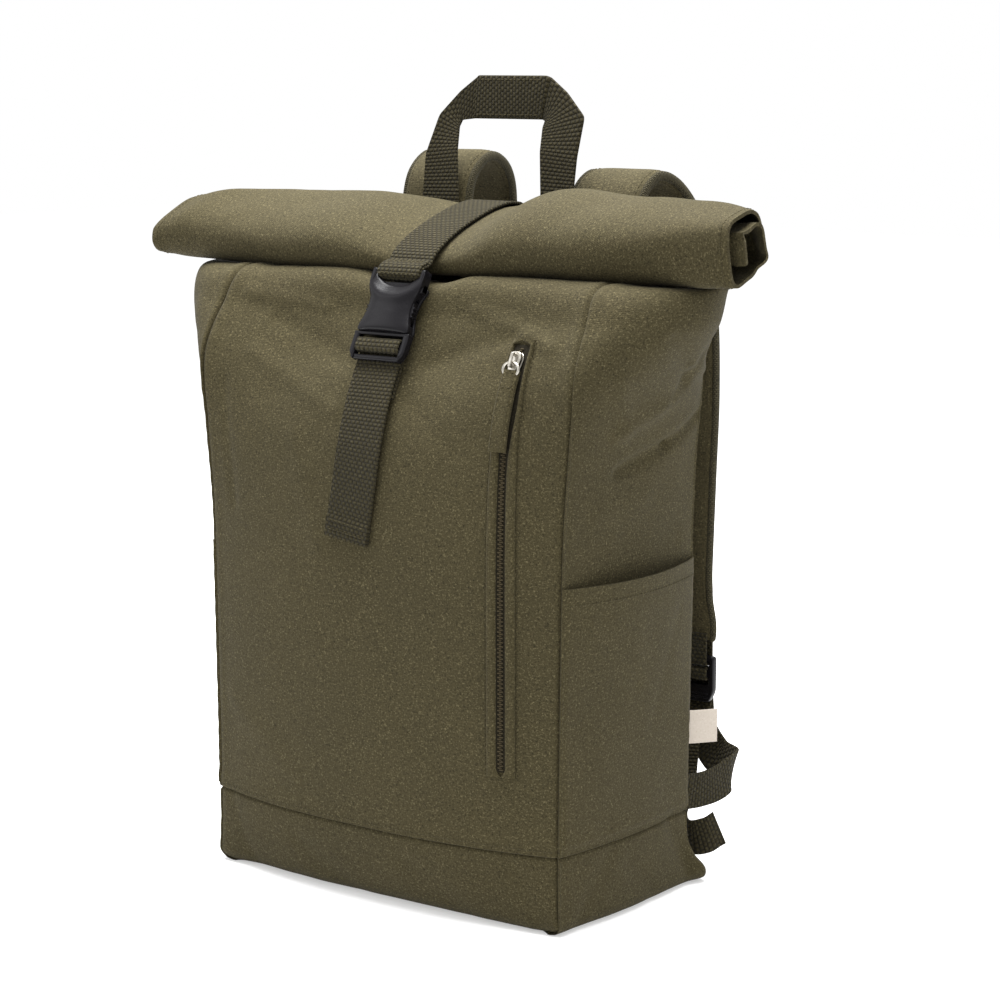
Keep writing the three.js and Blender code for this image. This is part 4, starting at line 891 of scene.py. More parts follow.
shoulder = {"width": 58, "thick": 9, "spread": 140, "bindingWidth": 4.2,
            "tops": {"right": body["mouthHeight"] + 70, "left": body["mouthHeight"] + 80},
            "reaches": {"right": 62, "left": 72}}
shoulderColumns = ["across", "reach", "height", "width", "thick"]
shoulderRows = [
    [0.00, 0.000, 0.800, 1.00, 0.70],
    [0.00, 0.000, 0.860, 1.00, 0.85],
    [0.00, 0.020, 0.915, 1.00, 1.00],
    [0.00, 0.120, 0.965, 1.00, 1.00],
    [0.04, 0.400, 0.990, 1.00, 1.00],
    [0.14, 0.720, 0.970, 1.00, 1.00],
    [0.35, 0.950, 0.910, 1.00, 1.00],
    [0.50, 1.060, 0.800, 1.00, 1.00],
    [0.54, 1.080, 0.680, 1.00, 1.00],
    [0.55, 1.050, 0.560, 0.97, 1.00],
    [0.61, 1.010, 0.450, 0.90, 0.95],
    [0.80, 0.990, 0.385, 0.72, 0.85],
    [1.00, 0.985, 0.345, 0.58, 0.78],
    [1.00, 0.985, 0.325, 0.56, 0.75],
]
lock = {"side": 105, "width": 34, "height": 32, "thick": 5, "centre": 0.312 * body["mouthHeight"],
        "topBar": 0.36, "middleTop": 0.20, "middleLow": 0.04, "bottomTop": -0.12, "bottomLow": -0.26,
        "webbingHeight": 0.156 * body["mouthHeight"], "loopReach": 40, "tailReach": 40,
        "tailDrop": 0.256 * body["mouthHeight"]}
shoulderPlane = handlePlane + webbingSize["thick"] / 2 + restGap + shoulder["thick"] / 2


def roundSection(count, acrossPower, outPower):
    # a rounded outline, as shares of half a strap's width and half its thickness
    angles = np.linspace(0, 2 * math.pi, count, endpoint=False)
    bent = lambda value, power: np.sign(value) * np.abs(value) ** power
    return np.stack([bent(np.cos(angles), acrossPower), bent(np.sin(angles), outPower)], -1)


padSection, bindSection = roundSection(30, 0.42, 0.75), roundSection(14, 1, 0.8)
acrossBag = np.array([1.0, 0.0, 0.0])
strapFeet, shoulderLines = {}, []
for sign, name in ((1, "right"), (-1, "left")):
    row = readRows(shoulderColumns, shoulderRows, np.linspace(0, 1, 220))
    x = shoulder["spread"] / 2 + row["across"] * (lock["side"] - shoulder["spread"] / 2)
    centre = np.stack([sign * x, shoulderPlane + row["reach"] * shoulder["reaches"][name],
                       row["height"] * shoulder["tops"][name]], -1)
    halfWidth = row["width"] * shoulder["width"] / 2
    halfThick = row["thick"] * shoulder["thick"] / 2
    dimple = lambda points: softNoise(points, 26, 3.9) * 0.55 + softNoise(points, 11, 6.6) * 0.15
    mesh = sweepMesh(f"{name}Shoulder", centre, acrossBag, halfWidth - 1.5, halfThick, padSection, dimple)
    pad = addPiece(f"{name}ShoulderStrap", mesh, "strap_cloth", "strap_cloth", f"shoulder_strap_{name}")
    along, out, sideways = strapFrame(centre, acrossBag)
    for edge, part in ((-1, "a"), (1, "b")):
        rim = centre + sideways * (edge * (halfWidth - shoulder["bindingWidth"] / 2 + 0.4))[:, None]
        mesh = sweepMesh(f"{name}Binding.{part}", rim, acrossBag, shoulder["bindingWidth"] / 2,
                         halfThick * 0.5 + 0.9, bindSection)
        addPiece(f"{name}Binding.{part}", mesh, "binding", "strap_cloth")
    shoulderLines += edgeLines(centre, acrossBag, halfWidth, halfThick * 0.84 - 0.25, 0.8, (-1, 1))
    strapFeet[name] = centre[-1]
mesh = stitchMesh("shoulderStitches", shoulderLines, {"pitch": 4.6, "length": 3.2, "radius": 0.42})
addPiece("shoulderStitches", mesh, "thread", "strap_cloth")
print("shoulder straps made")


def roundedRing(points, radius, steps=5):
    # a closed outline with each corner rounded
    ring = []
    count = len(points)
    for k in range(count):
        before, corner, after = (np.array(points[(k + d) % count], float) for d in (-1, 0, 1))
        inLength, outLength = np.linalg.norm(before - corner), np.linalg.norm(after - corner)
        a = corner + (before - corner) * min(radius / inLength, 0.45)
        b = corner + (after - corner) * min(radius / outLength, 0.45)
        for t in np.linspace(0, 1, steps):
            ring.append((1 - t) ** 2 * a + 2 * t * (1 - t) * corner + t * t * b)
    return ring


def plate(outline, thick, bevel, out=0, holes=()):
    return {"outline": outline, "thick": thick, "bevel": bevel, "out": out, "holes": holes}


def plateMesh(name, plates, place):
    # moulded plates with rounded edges, each an outline with holes, a thickness and a height
    parts = []
    for one in plates:
        curve = bpy.data.curves.new(name, "CURVE")
        curve.dimensions, curve.fill_mode = "2D", "BOTH"
        bevel = one["bevel"]
        curve.extrude = max(one["thick"] / 2 - bevel, 0.01)
        curve.bevel_depth, curve.bevel_resolution, curve.offset = bevel, 3, -bevel
        for ring in [one["outline"], *one["holes"]]:
            spline = curve.splines.new("POLY")
            spline.points.add(len(ring) - 1)
            spline.points.foreach_set("co", np.array([[p[0], p[1], 0, 1] for p in ring], float).ravel())
            spline.use_cyclic_u = True
        holder = bpy.data.objects.new(name, curve)
        bpy.context.scene.collection.objects.link(holder)
        solid = bpy.data.meshes.new_from_object(holder.evaluated_get(bpy.context.evaluated_depsgraph_get()))
        solid.transform(Matrix.Translation((0, 0, one["out"])))
        parts.append(solid)
        bpy.data.objects.remove(holder)
        bpy.data.curves.remove(curve)
    work = bmesh.new()
    for part in parts:
        work.from_mesh(part)
        bpy.data.meshes.remove(part)
    bmesh.ops.remove_doubles(work, verts=work.verts, dist=0.002)
    bmesh.ops.recalc_face_normals(work, faces=work.faces)
    mesh = bpy.data.meshes.new(name)
    work.to_mesh(mesh)
    work.free()
    mesh.materials.clear()
    mesh.transform(Matrix.Scale(toMetres, 4) @ place)
    mesh.shade_smooth()
    mesh.set_sharp_from_angle(angle=math.radians(32))
    return mesh


def box2d(x0, y0, x1, y1, radius=1.0):
    return roundedRing([(x0, y0), (x1, y0), (x1, y1), (x0, y1)], radius)


def hole2d(x0, y0, x1, y1, radius=0.8):
    return box2d(x0, y0, x1, y1, radius)[::-1]


loopRows = [
    [0.81, 0.00, 0.00, 0.15, 0.00, 1.00],
    [0.92, 0.26, -0.02, 0.10, 0.00, 1.00],
    [1.00, 0.51, 0.02, 0.00, 0.05, 1.00],
    [1.00, 0.70, 0.10, 0.00, 0.20, 1.00],
    [0.82, 0.88, 0.13, 0.20, 0.30, 1.00],
    [0.42, 0.97, 0.20, 0.50, 0.20, 0.85],
    [0.08, 1.00, 0.56, 0.95, 0.00, 0.30],
]
tailRows = [
    [-0.02, 0.20, 0.35, 1.00, 0.00, 0.00],
    [0.04, 0.40, 0.59, 1.00, 0.00, 0.10],
    [0.17, 0.65, 0.80, 0.80, -0.10, 0.50],
    [0.40, 0.90, 0.93, 0.30, -0.20, 0.90],
    [0.66, 1.00, 0.97, 0.00, -0.20, 1.00],
    [0.88, 0.90, 0.95, 0.00, -0.10, 1.00],
    [1.00, 0.70, 0.91, 0.00, 0.00, 1.00],
]


def lockPieces(sign, name):
    foot = strapFeet[name]
    back, centreZ, half = foot[1], lock["centre"], lock["height"] / 2
    thin = webbingSize["adjusterThick"]
    wide, lip = lock["width"] / 2, lock["width"] / 2 - 4
    low = lock["bottomLow"] * lock["height"]
    corners = [(-wide, low), (-lip, -half), (lip, -half), (wide, low), (wide, half), (-wide, half)]
    slotHalf = webbingSize["adjusterWidth"] / 2 + fitGap
    holes = [hole2d(-slotHalf, lock[b] * lock["height"], slotHalf, lock[a] * lock["height"])
             for a, b in (("topBar", "middleTop"), ("middleLow", "bottomTop"))]
    place = Matrix.Translation((sign * lock["side"], back, centreZ)) @ Matrix.Rotation(math.pi / 2, 4, "X")
    ribs = [plate(box2d(-lip, y - 0.6, lip, y + 0.6, 0.5), lock["thick"] + 0.9, 0.4)
            for y in (-12.6, -10.2)]
    frame = plate(roundedRing(corners, 2.4), lock["thick"], 1.1, 0, holes)
    mesh = plateMesh(f"{name}Lock", [frame, *ribs], place)
    addPiece(f"{name}LadderLock", mesh, "black_plastic", "black_plastic", f"ladder_lock_{name}")

    out = lock["thick"] / 2 + thin / 2 + fitGap
    turn = thin / 2 + fitGap
    diagonal, halfBar = turn * math.sqrt(0.5), lock["thick"] / 2
    top = centreZ + lock["topBar"] * lock["height"]
    tabEnd = foot[2] + 4
    spot = lambda y, z: [lock["side"], y, z, 1, 0, 0]
    tab = [spot(back - out, tabEnd), spot(back - out, top), spot(back - halfBar - diagonal, top - diagonal),
           spot(back - halfBar, top - turn), spot(back + halfBar, top - turn),
           spot(back + halfBar + diagonal, top - diagonal), spot(back + out, top), spot(back + out, tabEnd)]
    barTop = centreZ + lock["middleTop"] * lock["height"]
    barLow = centreZ + lock["middleLow"] * lock["height"]
    lockLow = centreZ - half
    behind = back + out + thin + restGap
    seamV = rowAtHeight(lock["webbingHeight"] - webbingSize["adjusterWidth"] / 2)
    seamY = float(bodyPoint("right", 1.0, seamV)[1]) + 3 * restGap
    webbing = [[lock["side"] + r[0] * lock["loopReach"], seamY + r[1] * (behind - seamY),
                lock["webbingHeight"] + r[2] * (lockLow - lock["webbingHeight"]), *r[3:]] for r in loopRows]
    webbing += [spot(behind, lockLow), spot(behind, barLow), spot(back + out, barTop),
                spot(back + halfBar + diagonal, barTop + diagonal), spot(back + halfBar, barTop + turn),
                spot(back - halfBar, barTop + turn), spot(back - halfBar - diagonal, barTop + diagonal),
                spot(back - out, barTop), spot(back - out, barLow),
                spot(back - halfBar - diagonal, barLow - diagonal), spot(back - halfBar, barLow - turn),
                spot(back + halfBar, barLow - turn), spot(back + out, barLow - 2 * turn),
                spot(back + out, lockLow)]
    webbing += [[lock["side"] + r[0] * lock["loopReach"], back - r[1] * lock["tailReach"],
                 centreZ - r[2] * lock["tailDrop"], *r[3:]] for r in tailRows]
    halfWide = webbingSize["adjusterWidth"] / 2
    for rows, count, pieceName, node in ((tab, 90, f"{name}LockTab", f"lock_tab_{name}"),
                                         (webbing, 420, f"{name}LowerWebbing", f"lower_webbing_{name}")):
        rows = np.array(rows) * [sign, 1, 1, sign, 1, 1]
        centre = smoothLine(rows[:, :3], count)
        across = unit(smoothLine(rows[:, 3:], count))
        mesh = sweepMesh(pieceName, centre, across, halfWide, thin / 2, strapSection(12))
        addPiece(pieceName, mesh, "webbing", "webbing", node)
    # the webbing, which comes last, is sewn at its seam and hemmed at its free end
    return crossLines(centre, across, halfWide, thin / 2, [6, 12, count - 12])


lockLines = []
for sign, name in ((1, "right"), (-1, "left")):
    lockLines += lockPieces(sign, name)
addPiece("adjusterStitches", stitchMesh("adjusterStitches", lockLines), "thread", "webbing")
print("strap adjusters made")

buckle = {"length": 62, "tilt": 28, "height": 0.94 * body["mouthHeight"], "width": 43,
          "frameThick": 6, "barThick": 4, "barLength": 4.5, "slotLength": 4.2, "standOffGaps": 8}
buckleAngle = math.radians(buckle["tilt"])
halfBuckle = buckle["length"] / 2
seat = bodyPoint("front", 0.5, rowAtHeight(buckle["height"]))
standOff = buckle["frameThick"] / 2 + 2 * webbingSize["thick"] + buckle["standOffGaps"] * restGap
buckleCentre = np.array([0, seat[1] - standOff * math.cos(buckleAngle),
                         seat[2] + standOff * math.sin(buckleAngle)])


def bucklePoint(out, along, x=0.0):
    return [x, buckleCentre[1] - out * math.cos(buckleAngle) + along * math.sin(buckleAngle),
            buckleCentre[2] + out * math.sin(buckleAngle) + along * math.cos(buckleAngle)]


buckleMatrix = Matrix((
    (1, 0, 0, 0),
    (0, math.sin(buckleAngle), -math.cos(buckleAngle), buckleCentre[1]),
    (0, math.cos(buckleAngle), math.sin(buckleAngle), buckleCentre[2]),
    (0, 0, 0, 1),
))
socketLow = -0.39 * halfBuckle
plugTop = socketLow - restGap
socketBarLow = halfBuckle - buckle["barLength"]
socketSlotLow = socketBarLow - buckle["slotLength"]
upperSlotTop = plugTop - buckle["barLength"] / 2
upperSlotLow = upperSlotTop - buckle["slotLength"]
middleBarLow = upperSlotLow - buckle["barLength"]
lowerSlotLow = middleBarLow - buckle["slotLength"]
headRows = [(0.98, 0.66), (0.99, 0.60), (0.93, 0.50), (0.86, 0.40), (0.81, 0.25), (0.80, 0.12), (0.82, 0.00),
            (0.88, -0.14), (0.93, -0.26), (0.95, -0.39)]


def mirrored(rows, narrower=0.0):
    right = [(wide * buckle["width"] / 2 - narrower, along * halfBuckle) for wide, along in rows]
    return [(-x, y) for x, y in right] + right[::-1]


def socketMesh():
    slotHalf, edge = webbingSize["width"] / 2 + fitGap, 0.99 * buckle["width"] / 2
    core = [(0.99, 0.60), (0.86, 0.40), (0.60, 0.36), (0.60, -0.16), (0.88, -0.20), (0.95, -0.39)]
    body = roundedRing(mirrored(headRows), 2)
    plates = [
        plate(roundedRing(mirrored(headRows, 0.9), 2), 1.7, 0.8, 2.6),
        plate(body, 2.6, 1.2, -4.2),
        plate(roundedRing(mirrored(core, 0.3), 1), 6.0, 0.3),
        plate(box2d(-slotHalf - 0.6, socketBarLow, slotHalf + 0.6, halfBuckle, 1.5), 4, 1.7),
        plate(box2d(-edge, 0.5 * halfBuckle, edge, socketSlotLow, 1.0), 6, 1.0),
    ]
    for side in (-1, 1):
        x0, x1 = sorted((side * slotHalf, side * edge))
        plates.append(plate(box2d(x0, 0.5 * halfBuckle, x1, halfBuckle - 0.2, 1.3), 6, 1.2))
        plates.append(plate(box2d(x0, 0.6 * halfBuckle, x1, halfBuckle - 0.6, 1.3), 4.6, 1.2, 3))
    return plateMesh("buckleSocket", plates, buckleMatrix)


def crownMesh(name, widths, face):
    # the moulded front swells between its edges, and its upper edge dips to a hollow lip
    low, high = widths[0][0], widths[-1][0]
    a, t = np.meshgrid(np.sin(np.linspace(-math.pi / 2, math.pi / 2, 33)), np.linspace(0, 1, 60))
    wide = np.interp(low + (high - low) * t, *np.array(widths).T) * buckle["width"] / 2
    along = low + (high - low - face["dip"] * (1 - np.abs(a) ** 2.4)) * t
    swell = (1 - a ** 2) ** 0.7
    ends = np.clip(1 - np.abs(2 * t - 1) ** 9, 0, 1) ** 0.5
    seatRow = face["seat"] + face["rise"] * smoothStep(0.5, 0.8, t)
    out = seatRow + face["crown"] * swell * ends - face["hollow"] * smoothStep(0.66, 0.95, t) * swell
    place = lambda lift: np.stack(np.broadcast_arrays(*bucklePoint(lift, along * halfBuckle, a * wide)), -1)
    spots = place(out)
    return shellMesh(name, spots, place(seatRow - face["thick"]), flatUv(spots), 50)


def plugMesh():
    slotHalf, edge = webbingSize["width"] / 2 + fitGap, 1.03 * buckle["width"] / 2
    plates = [
        plate(box2d(-edge, upperSlotTop, edge, plugTop, 0.8), 6, 0.8),
        plate(box2d(-slotHalf - 0.6, middleBarLow, slotHalf + 0.6, upperSlotLow, 1.5), 4, 1.7),
        plate(box2d(-slotHalf - 0.6, -halfBuckle, slotHalf + 0.6, lowerSlotLow, 1.3), 4, 1.4),
        plate(box2d(-13, plugTop - 1, 13, 0.3 * halfBuckle, 1), 4.6, 0.5),
    ]
    for side in (-1, 1):
        post = [(side * slotHalf, -halfBuckle), (side * (edge - 3.4), -halfBuckle),
                (side * edge, -halfBuckle + 5.0), (side * edge, plugTop), (side * slotHalf, plugTop)]
        plates.append(plate(roundedRing(post[::side], 1.8), 6, 1.2))
        root, flank, bow = 12.6, 0.80 * buckle["width"] / 2, 0.885 * buckle["width"] / 2
        button = [(root, -0.15), (flank, -0.15), (bow, 0.1), (flank, 0.35), (root, 0.35)]
        ring = [(side * x, y * halfBuckle) for x, y in button][::side]
        plates.append(plate(roundedRing(ring, 2), 5.2, 0.9))
        for y in (-1.0, 1.8, 4.6):
            x0, x1 = sorted((side * 17.6, side * 19.4))
            plates.append(plate(box2d(x0, y, x1, y + 1.2, 0.4), 5.0, 0.4))
    return plateMesh("bucklePlug", plates, buckleMatrix)


addPiece("buckleSocket", socketMesh(), "black_plastic", "black_plastic", "buckle_socket")
addPiece("bucklePlug", plugMesh(), "black_plastic", "black_plastic", "buckle_plug")
# heights and widths are shares of half the buckle's length and width
faceWidths = [(-0.39, 0.91), (-0.35, 0.95), (-0.26, 0.94), (-0.14, 0.88), (0.00, 0.82), (0.12, 0.80),
              (0.25, 0.81), (0.40, 0.86), (0.50, 0.93), (0.62, 0.98), (0.80, 1.00), (1.00, 0.98)]
buckleFace = {"seat": 3.4, "rise": 1.6, "crown": 3.2, "hollow": 3.4, "dip": 0.36, "thick": 2.4}
addPiece("buckleFace", crownMesh("buckleFace", faceWidths, buckleFace), "black_plastic", "black_plastic")
print("buckle made")

barRadius = webbingSize["thick"] / 2 + fitGap
barOut = buckle["barThick"] / 2 + barRadius


def barTurn(edge, slotSide):
    half, diagonal = buckle["barThick"] / 2, barRadius * math.sqrt(0.5)
    return [bucklePoint(half + barRadius, edge), bucklePoint(half + diagonal, edge + slotSide * diagonal),
            bucklePoint(half, edge + slotSide * barRadius), bucklePoint(-half, edge + slotSide * barRadius),
            bucklePoint(-half - diagonal, edge + slotSide * diagonal), bucklePoint(-half - barRadius, edge)]


def overFront(height, distance, x=0.0):
    v = rowAtHeight(height)
    corner = readRows(bodyColumns, bodyRows, np.array(v))["corner"] * body["width"] / 2
    return list(clothPoint("front", (x / corner + 1) / 2, v, distance))


closure = {"lay": webbingSize["thick"] / 2 + restGap, "tailLength": 87, "anchorDrop": 20, "hem": 14}
upper = [[0, backSeat + closure["lay"], handle["end"]], [0, backSeat + closure["lay"], body["mouthHeight"]]]
for degrees in (12, 38, 62, 84, 104, 124, 142, 158):
    upper.append(list(rollPoint(0, math.radians(degrees), 1, -closure["lay"])))
upper += [bucklePoint(barOut, halfBuckle), *barTurn(socketBarLow, -1), bucklePoint(-barOut, halfBuckle)]
upperLine = smoothLine(upper, 330)
halfStrap = webbingSize["width"] / 2
ruffle = lambda points: softNoise(points, 20, 5.5) * 0.18
strapEdge = strapSection(18)
mesh = sweepMesh("upperStrap", upperLine, acrossBag, halfStrap, webbingSize["thick"] / 2, strapEdge, ruffle)
addPiece("upperStrap", mesh, "webbing", "webbing", "closure_strap_upper")
# The sewn flap of the upper strap ends on top of it, just above the buckle
flapFrom, flapTo = 176, 214
along, out, sideways = strapFrame(upperLine, acrossBag)
flapLine = upperLine[flapFrom:flapTo] + out[flapFrom:flapTo] * 1.9
mesh = sweepMesh("strapFlap", flapLine, acrossBag, halfStrap - 0.4, 0.85, strapEdge, ruffle)
addPiece("strapFlap", mesh, "webbing", "webbing")
flapLines = crossLines(flapLine, acrossBag, halfStrap, 0.85, [3, 7, len(flapLine) - 6])

layer = webbingSize["thick"] + restGap
anchor = buckleCentre[2] - halfBuckle - closure["anchorDrop"]
tailTop = anchor - layer
lowerLay = webbingSize["thick"] / 2 + 2 * restGap
lower = [
    overFront(anchor, lowerLay),
    overFront(anchor + closure["anchorDrop"] / 3, lowerLay + restGap),
    overFront(anchor + closure["anchorDrop"] / 1.5, lowerLay + 4 * restGap),
    bucklePoint(-barOut - layer, -halfBuckle), bucklePoint(-barOut - layer, middleBarLow),
    *barTurn(upperSlotLow, 1)[::-1], *barTurn(middleBarLow, -1),
    bucklePoint(-barOut, lowerSlotLow), bucklePoint(-barOut, -halfBuckle),
    overFront(tailTop, lowerLay + layer + 2 * restGap),
    overFront(tailTop - closure["tailLength"] / 3, lowerLay + layer, -1),
    overFront(tailTop - closure["tailLength"] / 1.5, lowerLay + layer / 2, -4),
    overFront(tailTop - closure["tailLength"], lowerLay + webbingSize["thick"] / 2, -8),
]
lowerLine = smoothLine(lower, 420)
fromEnd = np.linalg.norm(lowerLine - lowerLine[-1], axis=1)
hemmed = 1 - smoothStep(closure["hem"] - 1, closure["hem"], fromEnd)
halfThick = webbingSize["thick"] / 2 * (1 + 0.9 * hemmed)
mesh = sweepMesh("lowerStrap", lowerLine, acrossBag, halfStrap, halfThick, strapEdge, ruffle)
addPiece("lowerStrap", mesh, "webbing", "webbing", "closure_strap_lower")
hemRow = int(np.argmin(np.abs(fromEnd - (closure["hem"] - 2.5))))
hemRows = [hemRow, len(lowerLine) - 4]
for face in (-1, 1):
    flapLines += crossLines(lowerLine, acrossBag, halfStrap, webbingSize["thick"] + 0.1, hemRows, face)
addPiece("closureStitches", stitchMesh("closureStitches", flapLines), "thread", "webbing")
print("closure strap made")

zipper = {"side": 106, "low": 0.259 * body["mouthHeight"], "high": 0.92 * body["mouthHeight"], "tape": 13,
          "pitch": 2.6, "lipOuter": 9.4, "openLow": 3.0, "openTop": 4.0, "lipThick": 2.3, "stitchAt": 10.6,
          "sliderLength": 11, "sliderWidth": 8.5, "ringRadius": 5.2, "wire": 0.9,
          "pullerLength": 47, "pullerWidth": 12, "pullerThick": 3}


def frontShare(x, v):
    corner = readRows(bodyColumns, bodyRows, v)["corner"] * body["width"] / 2
    return (x / corner + 1) / 2


def frontStrip(name, centreX, width, low, high, near, thick, drift=0.0, cols=7, rows=150, crown=0.0):
    v = np.linspace(rowAtHeight(low), rowAtHeight(high), rows)
    a = np.linspace(-1, 1, cols)
    vGrid, aGrid = np.meshgrid(v, a, indexing="ij")
    swing = drift * (v[-1] - vGrid) / (v[-1] - v[0])
    s = frontShare(centreX + swing + aGrid * width / 2, vGrid)
    rise = near + thick + crown * (1 - aGrid ** 2) - 0.35 * thick * np.abs(aGrid) ** 8
    outer = clothPoint("front", s, vGrid, rise)
    inner = clothPoint("front", s, vGrid, near)
    return shellMesh(name, outer, inner, flatUv(outer), 45), outer


mesh = frontStrip("zipTape", zipper["side"], zipper["tape"], zipper["low"], zipper["high"], 0.15, 0.5)[0]
addPiece("zipTape", mesh, "zip_tape", "zip_tape", "zip_tape")
# The lips part near the top, where the slider stands
lipLow, lipHigh, lipRows = zipper["low"] - 3, zipper["high"] + 3, 150
lipV = np.linspace(rowAtHeight(lipLow), rowAtHeight(lipHigh), lipRows)[:, None]
lipZ = np.interp(lipV, denseV, denseUp)
lipOpen = zipper["openLow"] + zipper["openTop"] * smoothStep(zipper["high"] - 75, zipper["high"] - 30, lipZ)
lipOpen = lipOpen * smoothStep(lipLow, zipper["low"] + 1, lipZ)
lipOpen = lipOpen * (1 - smoothStep(zipper["high"], lipHigh - 1, lipZ))
for side, part in ((-1, "a"), (1, "b")):
    centreX = zipper["side"] + side * (zipper["lipOuter"] + lipOpen) / 2
    mesh = frontStrip(f"zipLip.{part}", centreX, zipper["lipOuter"] - lipOpen, lipLow, lipHigh,
                      -0.4, zipper["lipThick"], rows=lipRows, crown=0.5)[0]
    addPiece(f"zipLip.{part}", mesh, "canvas", "canvas")


def coilMesh():
    # interlocked teeth, one short bar at a time, alternately from either side
    v = np.linspace(rowAtHeight(zipper["low"] + 1), rowAtHeight(zipper["high"] - 2), 900)
    line = clothPoint("front", frontShare(zipper["side"] + 0 * v, v), v, 1.0)
    normal = bodyNormal("front", frontShare(zipper["side"] + 0 * v, v), v)
    centre, along, out = walkLine(line, normal, zipper["pitch"] / 2)
    across = unit(np.cross(along, out))
    ring = [(math.cos(2 * math.pi * k / 6), math.sin(2 * math.pi * k / 6)) for k in range(6)]
    template = np.array([(x, a * 0.52, b * 0.6) for x in (-1.5, -1.2, 0.9, 1.3) for a, b in ring])
    template[:6, 1:] *= 0.4
    template[-6:, 1:] *= 0.5
    cells = gridFaces(4, 6, wrap=True) + [list(range(6))[::-1], list(range(18, 24))]
    points, faces, uvs = [], [], []
    for k in range(len(centre)):
        side = 1 if k % 2 else -1
        basis = np.stack([across[k] * side, along[k], out[k]])
        start = len(points)
        points.extend(centre[k] + across[k] * side * -0.45 + template @ basis)
        uvs.extend(template[:, :2])
        faces += [[start + c for c in face] for face in cells]
    return makeMesh("zipTeeth", np.array(points), faces, np.array(uvs), 50)


addPiece("zipTeeth", coilMesh(), "zip_coil", "zip_coil", "zip_teeth")
zipLines = []
zipV = np.linspace(rowAtHeight(zipper["low"] - 3), rowAtHeight(zipper["high"] + 3), 200)
for side in (-1, 1):
    s = frontShare(zipper["side"] + side * zipper["stitchAt"] + 0 * zipV, zipV)
    zipLines.append(panelLine("front", s, zipV, 0.15))
for end in (0, -1):
    s = frontShare(zipper["side"] + np.linspace(-1, 1, 20) * zipper["stitchAt"], np.full(20, zipV[end]))
    zipLines.append(panelLine("front", s, np.full(20, zipV[end]), 0.15))

sliderV = rowAtHeight(zipper["high"] - zipper["sliderLength"])
sliderS = float(frontShare(zipper["side"], np.array(sliderV)))
sliderOut = bodyNormal("front", sliderS, sliderV)
sliderAcross = unit(np.cross([0, 0, 1.0], sliderOut))
sliderUp = unit(np.cross(sliderOut, sliderAcross))
sliderSeat = clothPoint("front", sliderS, sliderV, 3.4)
sliderBasis = np.stack([sliderAcross, sliderUp, sliderOut], 1)
sliderPlace = Matrix([[*row, seatAt] for row, seatAt in zip(sliderBasis, sliderSeat)] + [[0, 0, 0, 1]])


def sliderMesh():
    wide, long = 1.12 * zipper["sliderWidth"] / 2, 1.18 * zipper["sliderLength"] / 2
    shape = [(-wide * 0.72, -long), (wide * 0.72, -long), (wide, long * 0.4), (wide * 0.7, long),
             (-wide * 0.7, long), (-wide, long * 0.4)]
    return plateMesh("zipSlider", [
        plate(roundedRing(shape, 2.2), 1.7, 0.7, 0.9),
        plate(roundedRing(shape, 2.2), 1.2, 0.5, -1.6),
        plate(box2d(-1.2, -long * 0.7, 1.2, long * 0.75, 1), 4, 0.5, -0.2),
        plate(box2d(-1.1, 0.42 * long, 1.1, 0.74 * long, 0.8), 3.4, 0.5, 3.0),
        plate(box2d(-1.1, -0.72 * long, 1.1, -0.40 * long, 0.8), 3.4, 0.5, 3.0),
        plate(box2d(-1.1, -0.72 * long, 1.1, 0.74 * long, 0.8), 1.3, 0.5, 4.7),
    ], sliderPlace)


def ringMesh():
    ringRadius, turns, sides = zipper["ringRadius"], 48, 12
    points, uvs = [], []
    for k in range(turns):
        a = 2 * math.pi * k / turns
        for j in range(sides):
            b = 2 * math.pi * j / sides
            r = ringRadius + zipper["wire"] * math.cos(b)
            lean = 0.9 * (1 - math.sin(a))
            local = Vector((1.2 * r * math.cos(a), 0.85 * (r * math.sin(a) - ringRadius) - 1.2,
                            3.0 - lean + zipper["wire"] * math.sin(b)))
            points.append(list(sliderPlace @ local))
            uvs.append((k, j))
    faces = gridFaces(turns, sides, wrap=True)
    last = (turns - 1) * sides
    faces += [[last + j, last + (j + 1) % sides, (j + 1) % sides, j] for j in range(sides)]
    return makeMesh("pullerRing", np.array(points), faces, np.array(uvs))


addPiece("zipSlider", sliderMesh(), "silver_metal", "silver_metal", "zip_slider")
addPiece("pullerRing", ringMesh(), "silver_metal", "silver_metal", "puller_ring")
pullerTop = zipper["high"] - 1.5 * zipper["sliderLength"] - restGap + 0.3
pullerLow = pullerTop - zipper["pullerLength"]
mesh, pullerGrid = frontStrip("pullerTab", zipper["side"], zipper["pullerWidth"], pullerLow, pullerTop,
                              3.0, zipper["pullerThick"], -3, cols=15, rows=70, crown=0.3)
addPiece("pullerTab", mesh, "canvas", "canvas", "puller_tab")
pullerNormal = unit(np.cross(np.gradient(pullerGrid, axis=1), np.gradient(pullerGrid, axis=0)))
alongTab, acrossTab = slice(3, -3), slice(2, 13)
for line in ((alongTab, 2), (alongTab, 12), (3, acrossTab), (-4, acrossTab), (50, acrossTab)):
    zipLines.append((pullerGrid[line] + 0.1 * pullerNormal[line], pullerNormal[line]))
mesh = stitchMesh("zipStitches", zipLines, {"pitch": 3.0, "length": 2.2, "radius": 0.36})
addPiece("zipStitches", mesh, "thread", "canvas")
print("zip made")

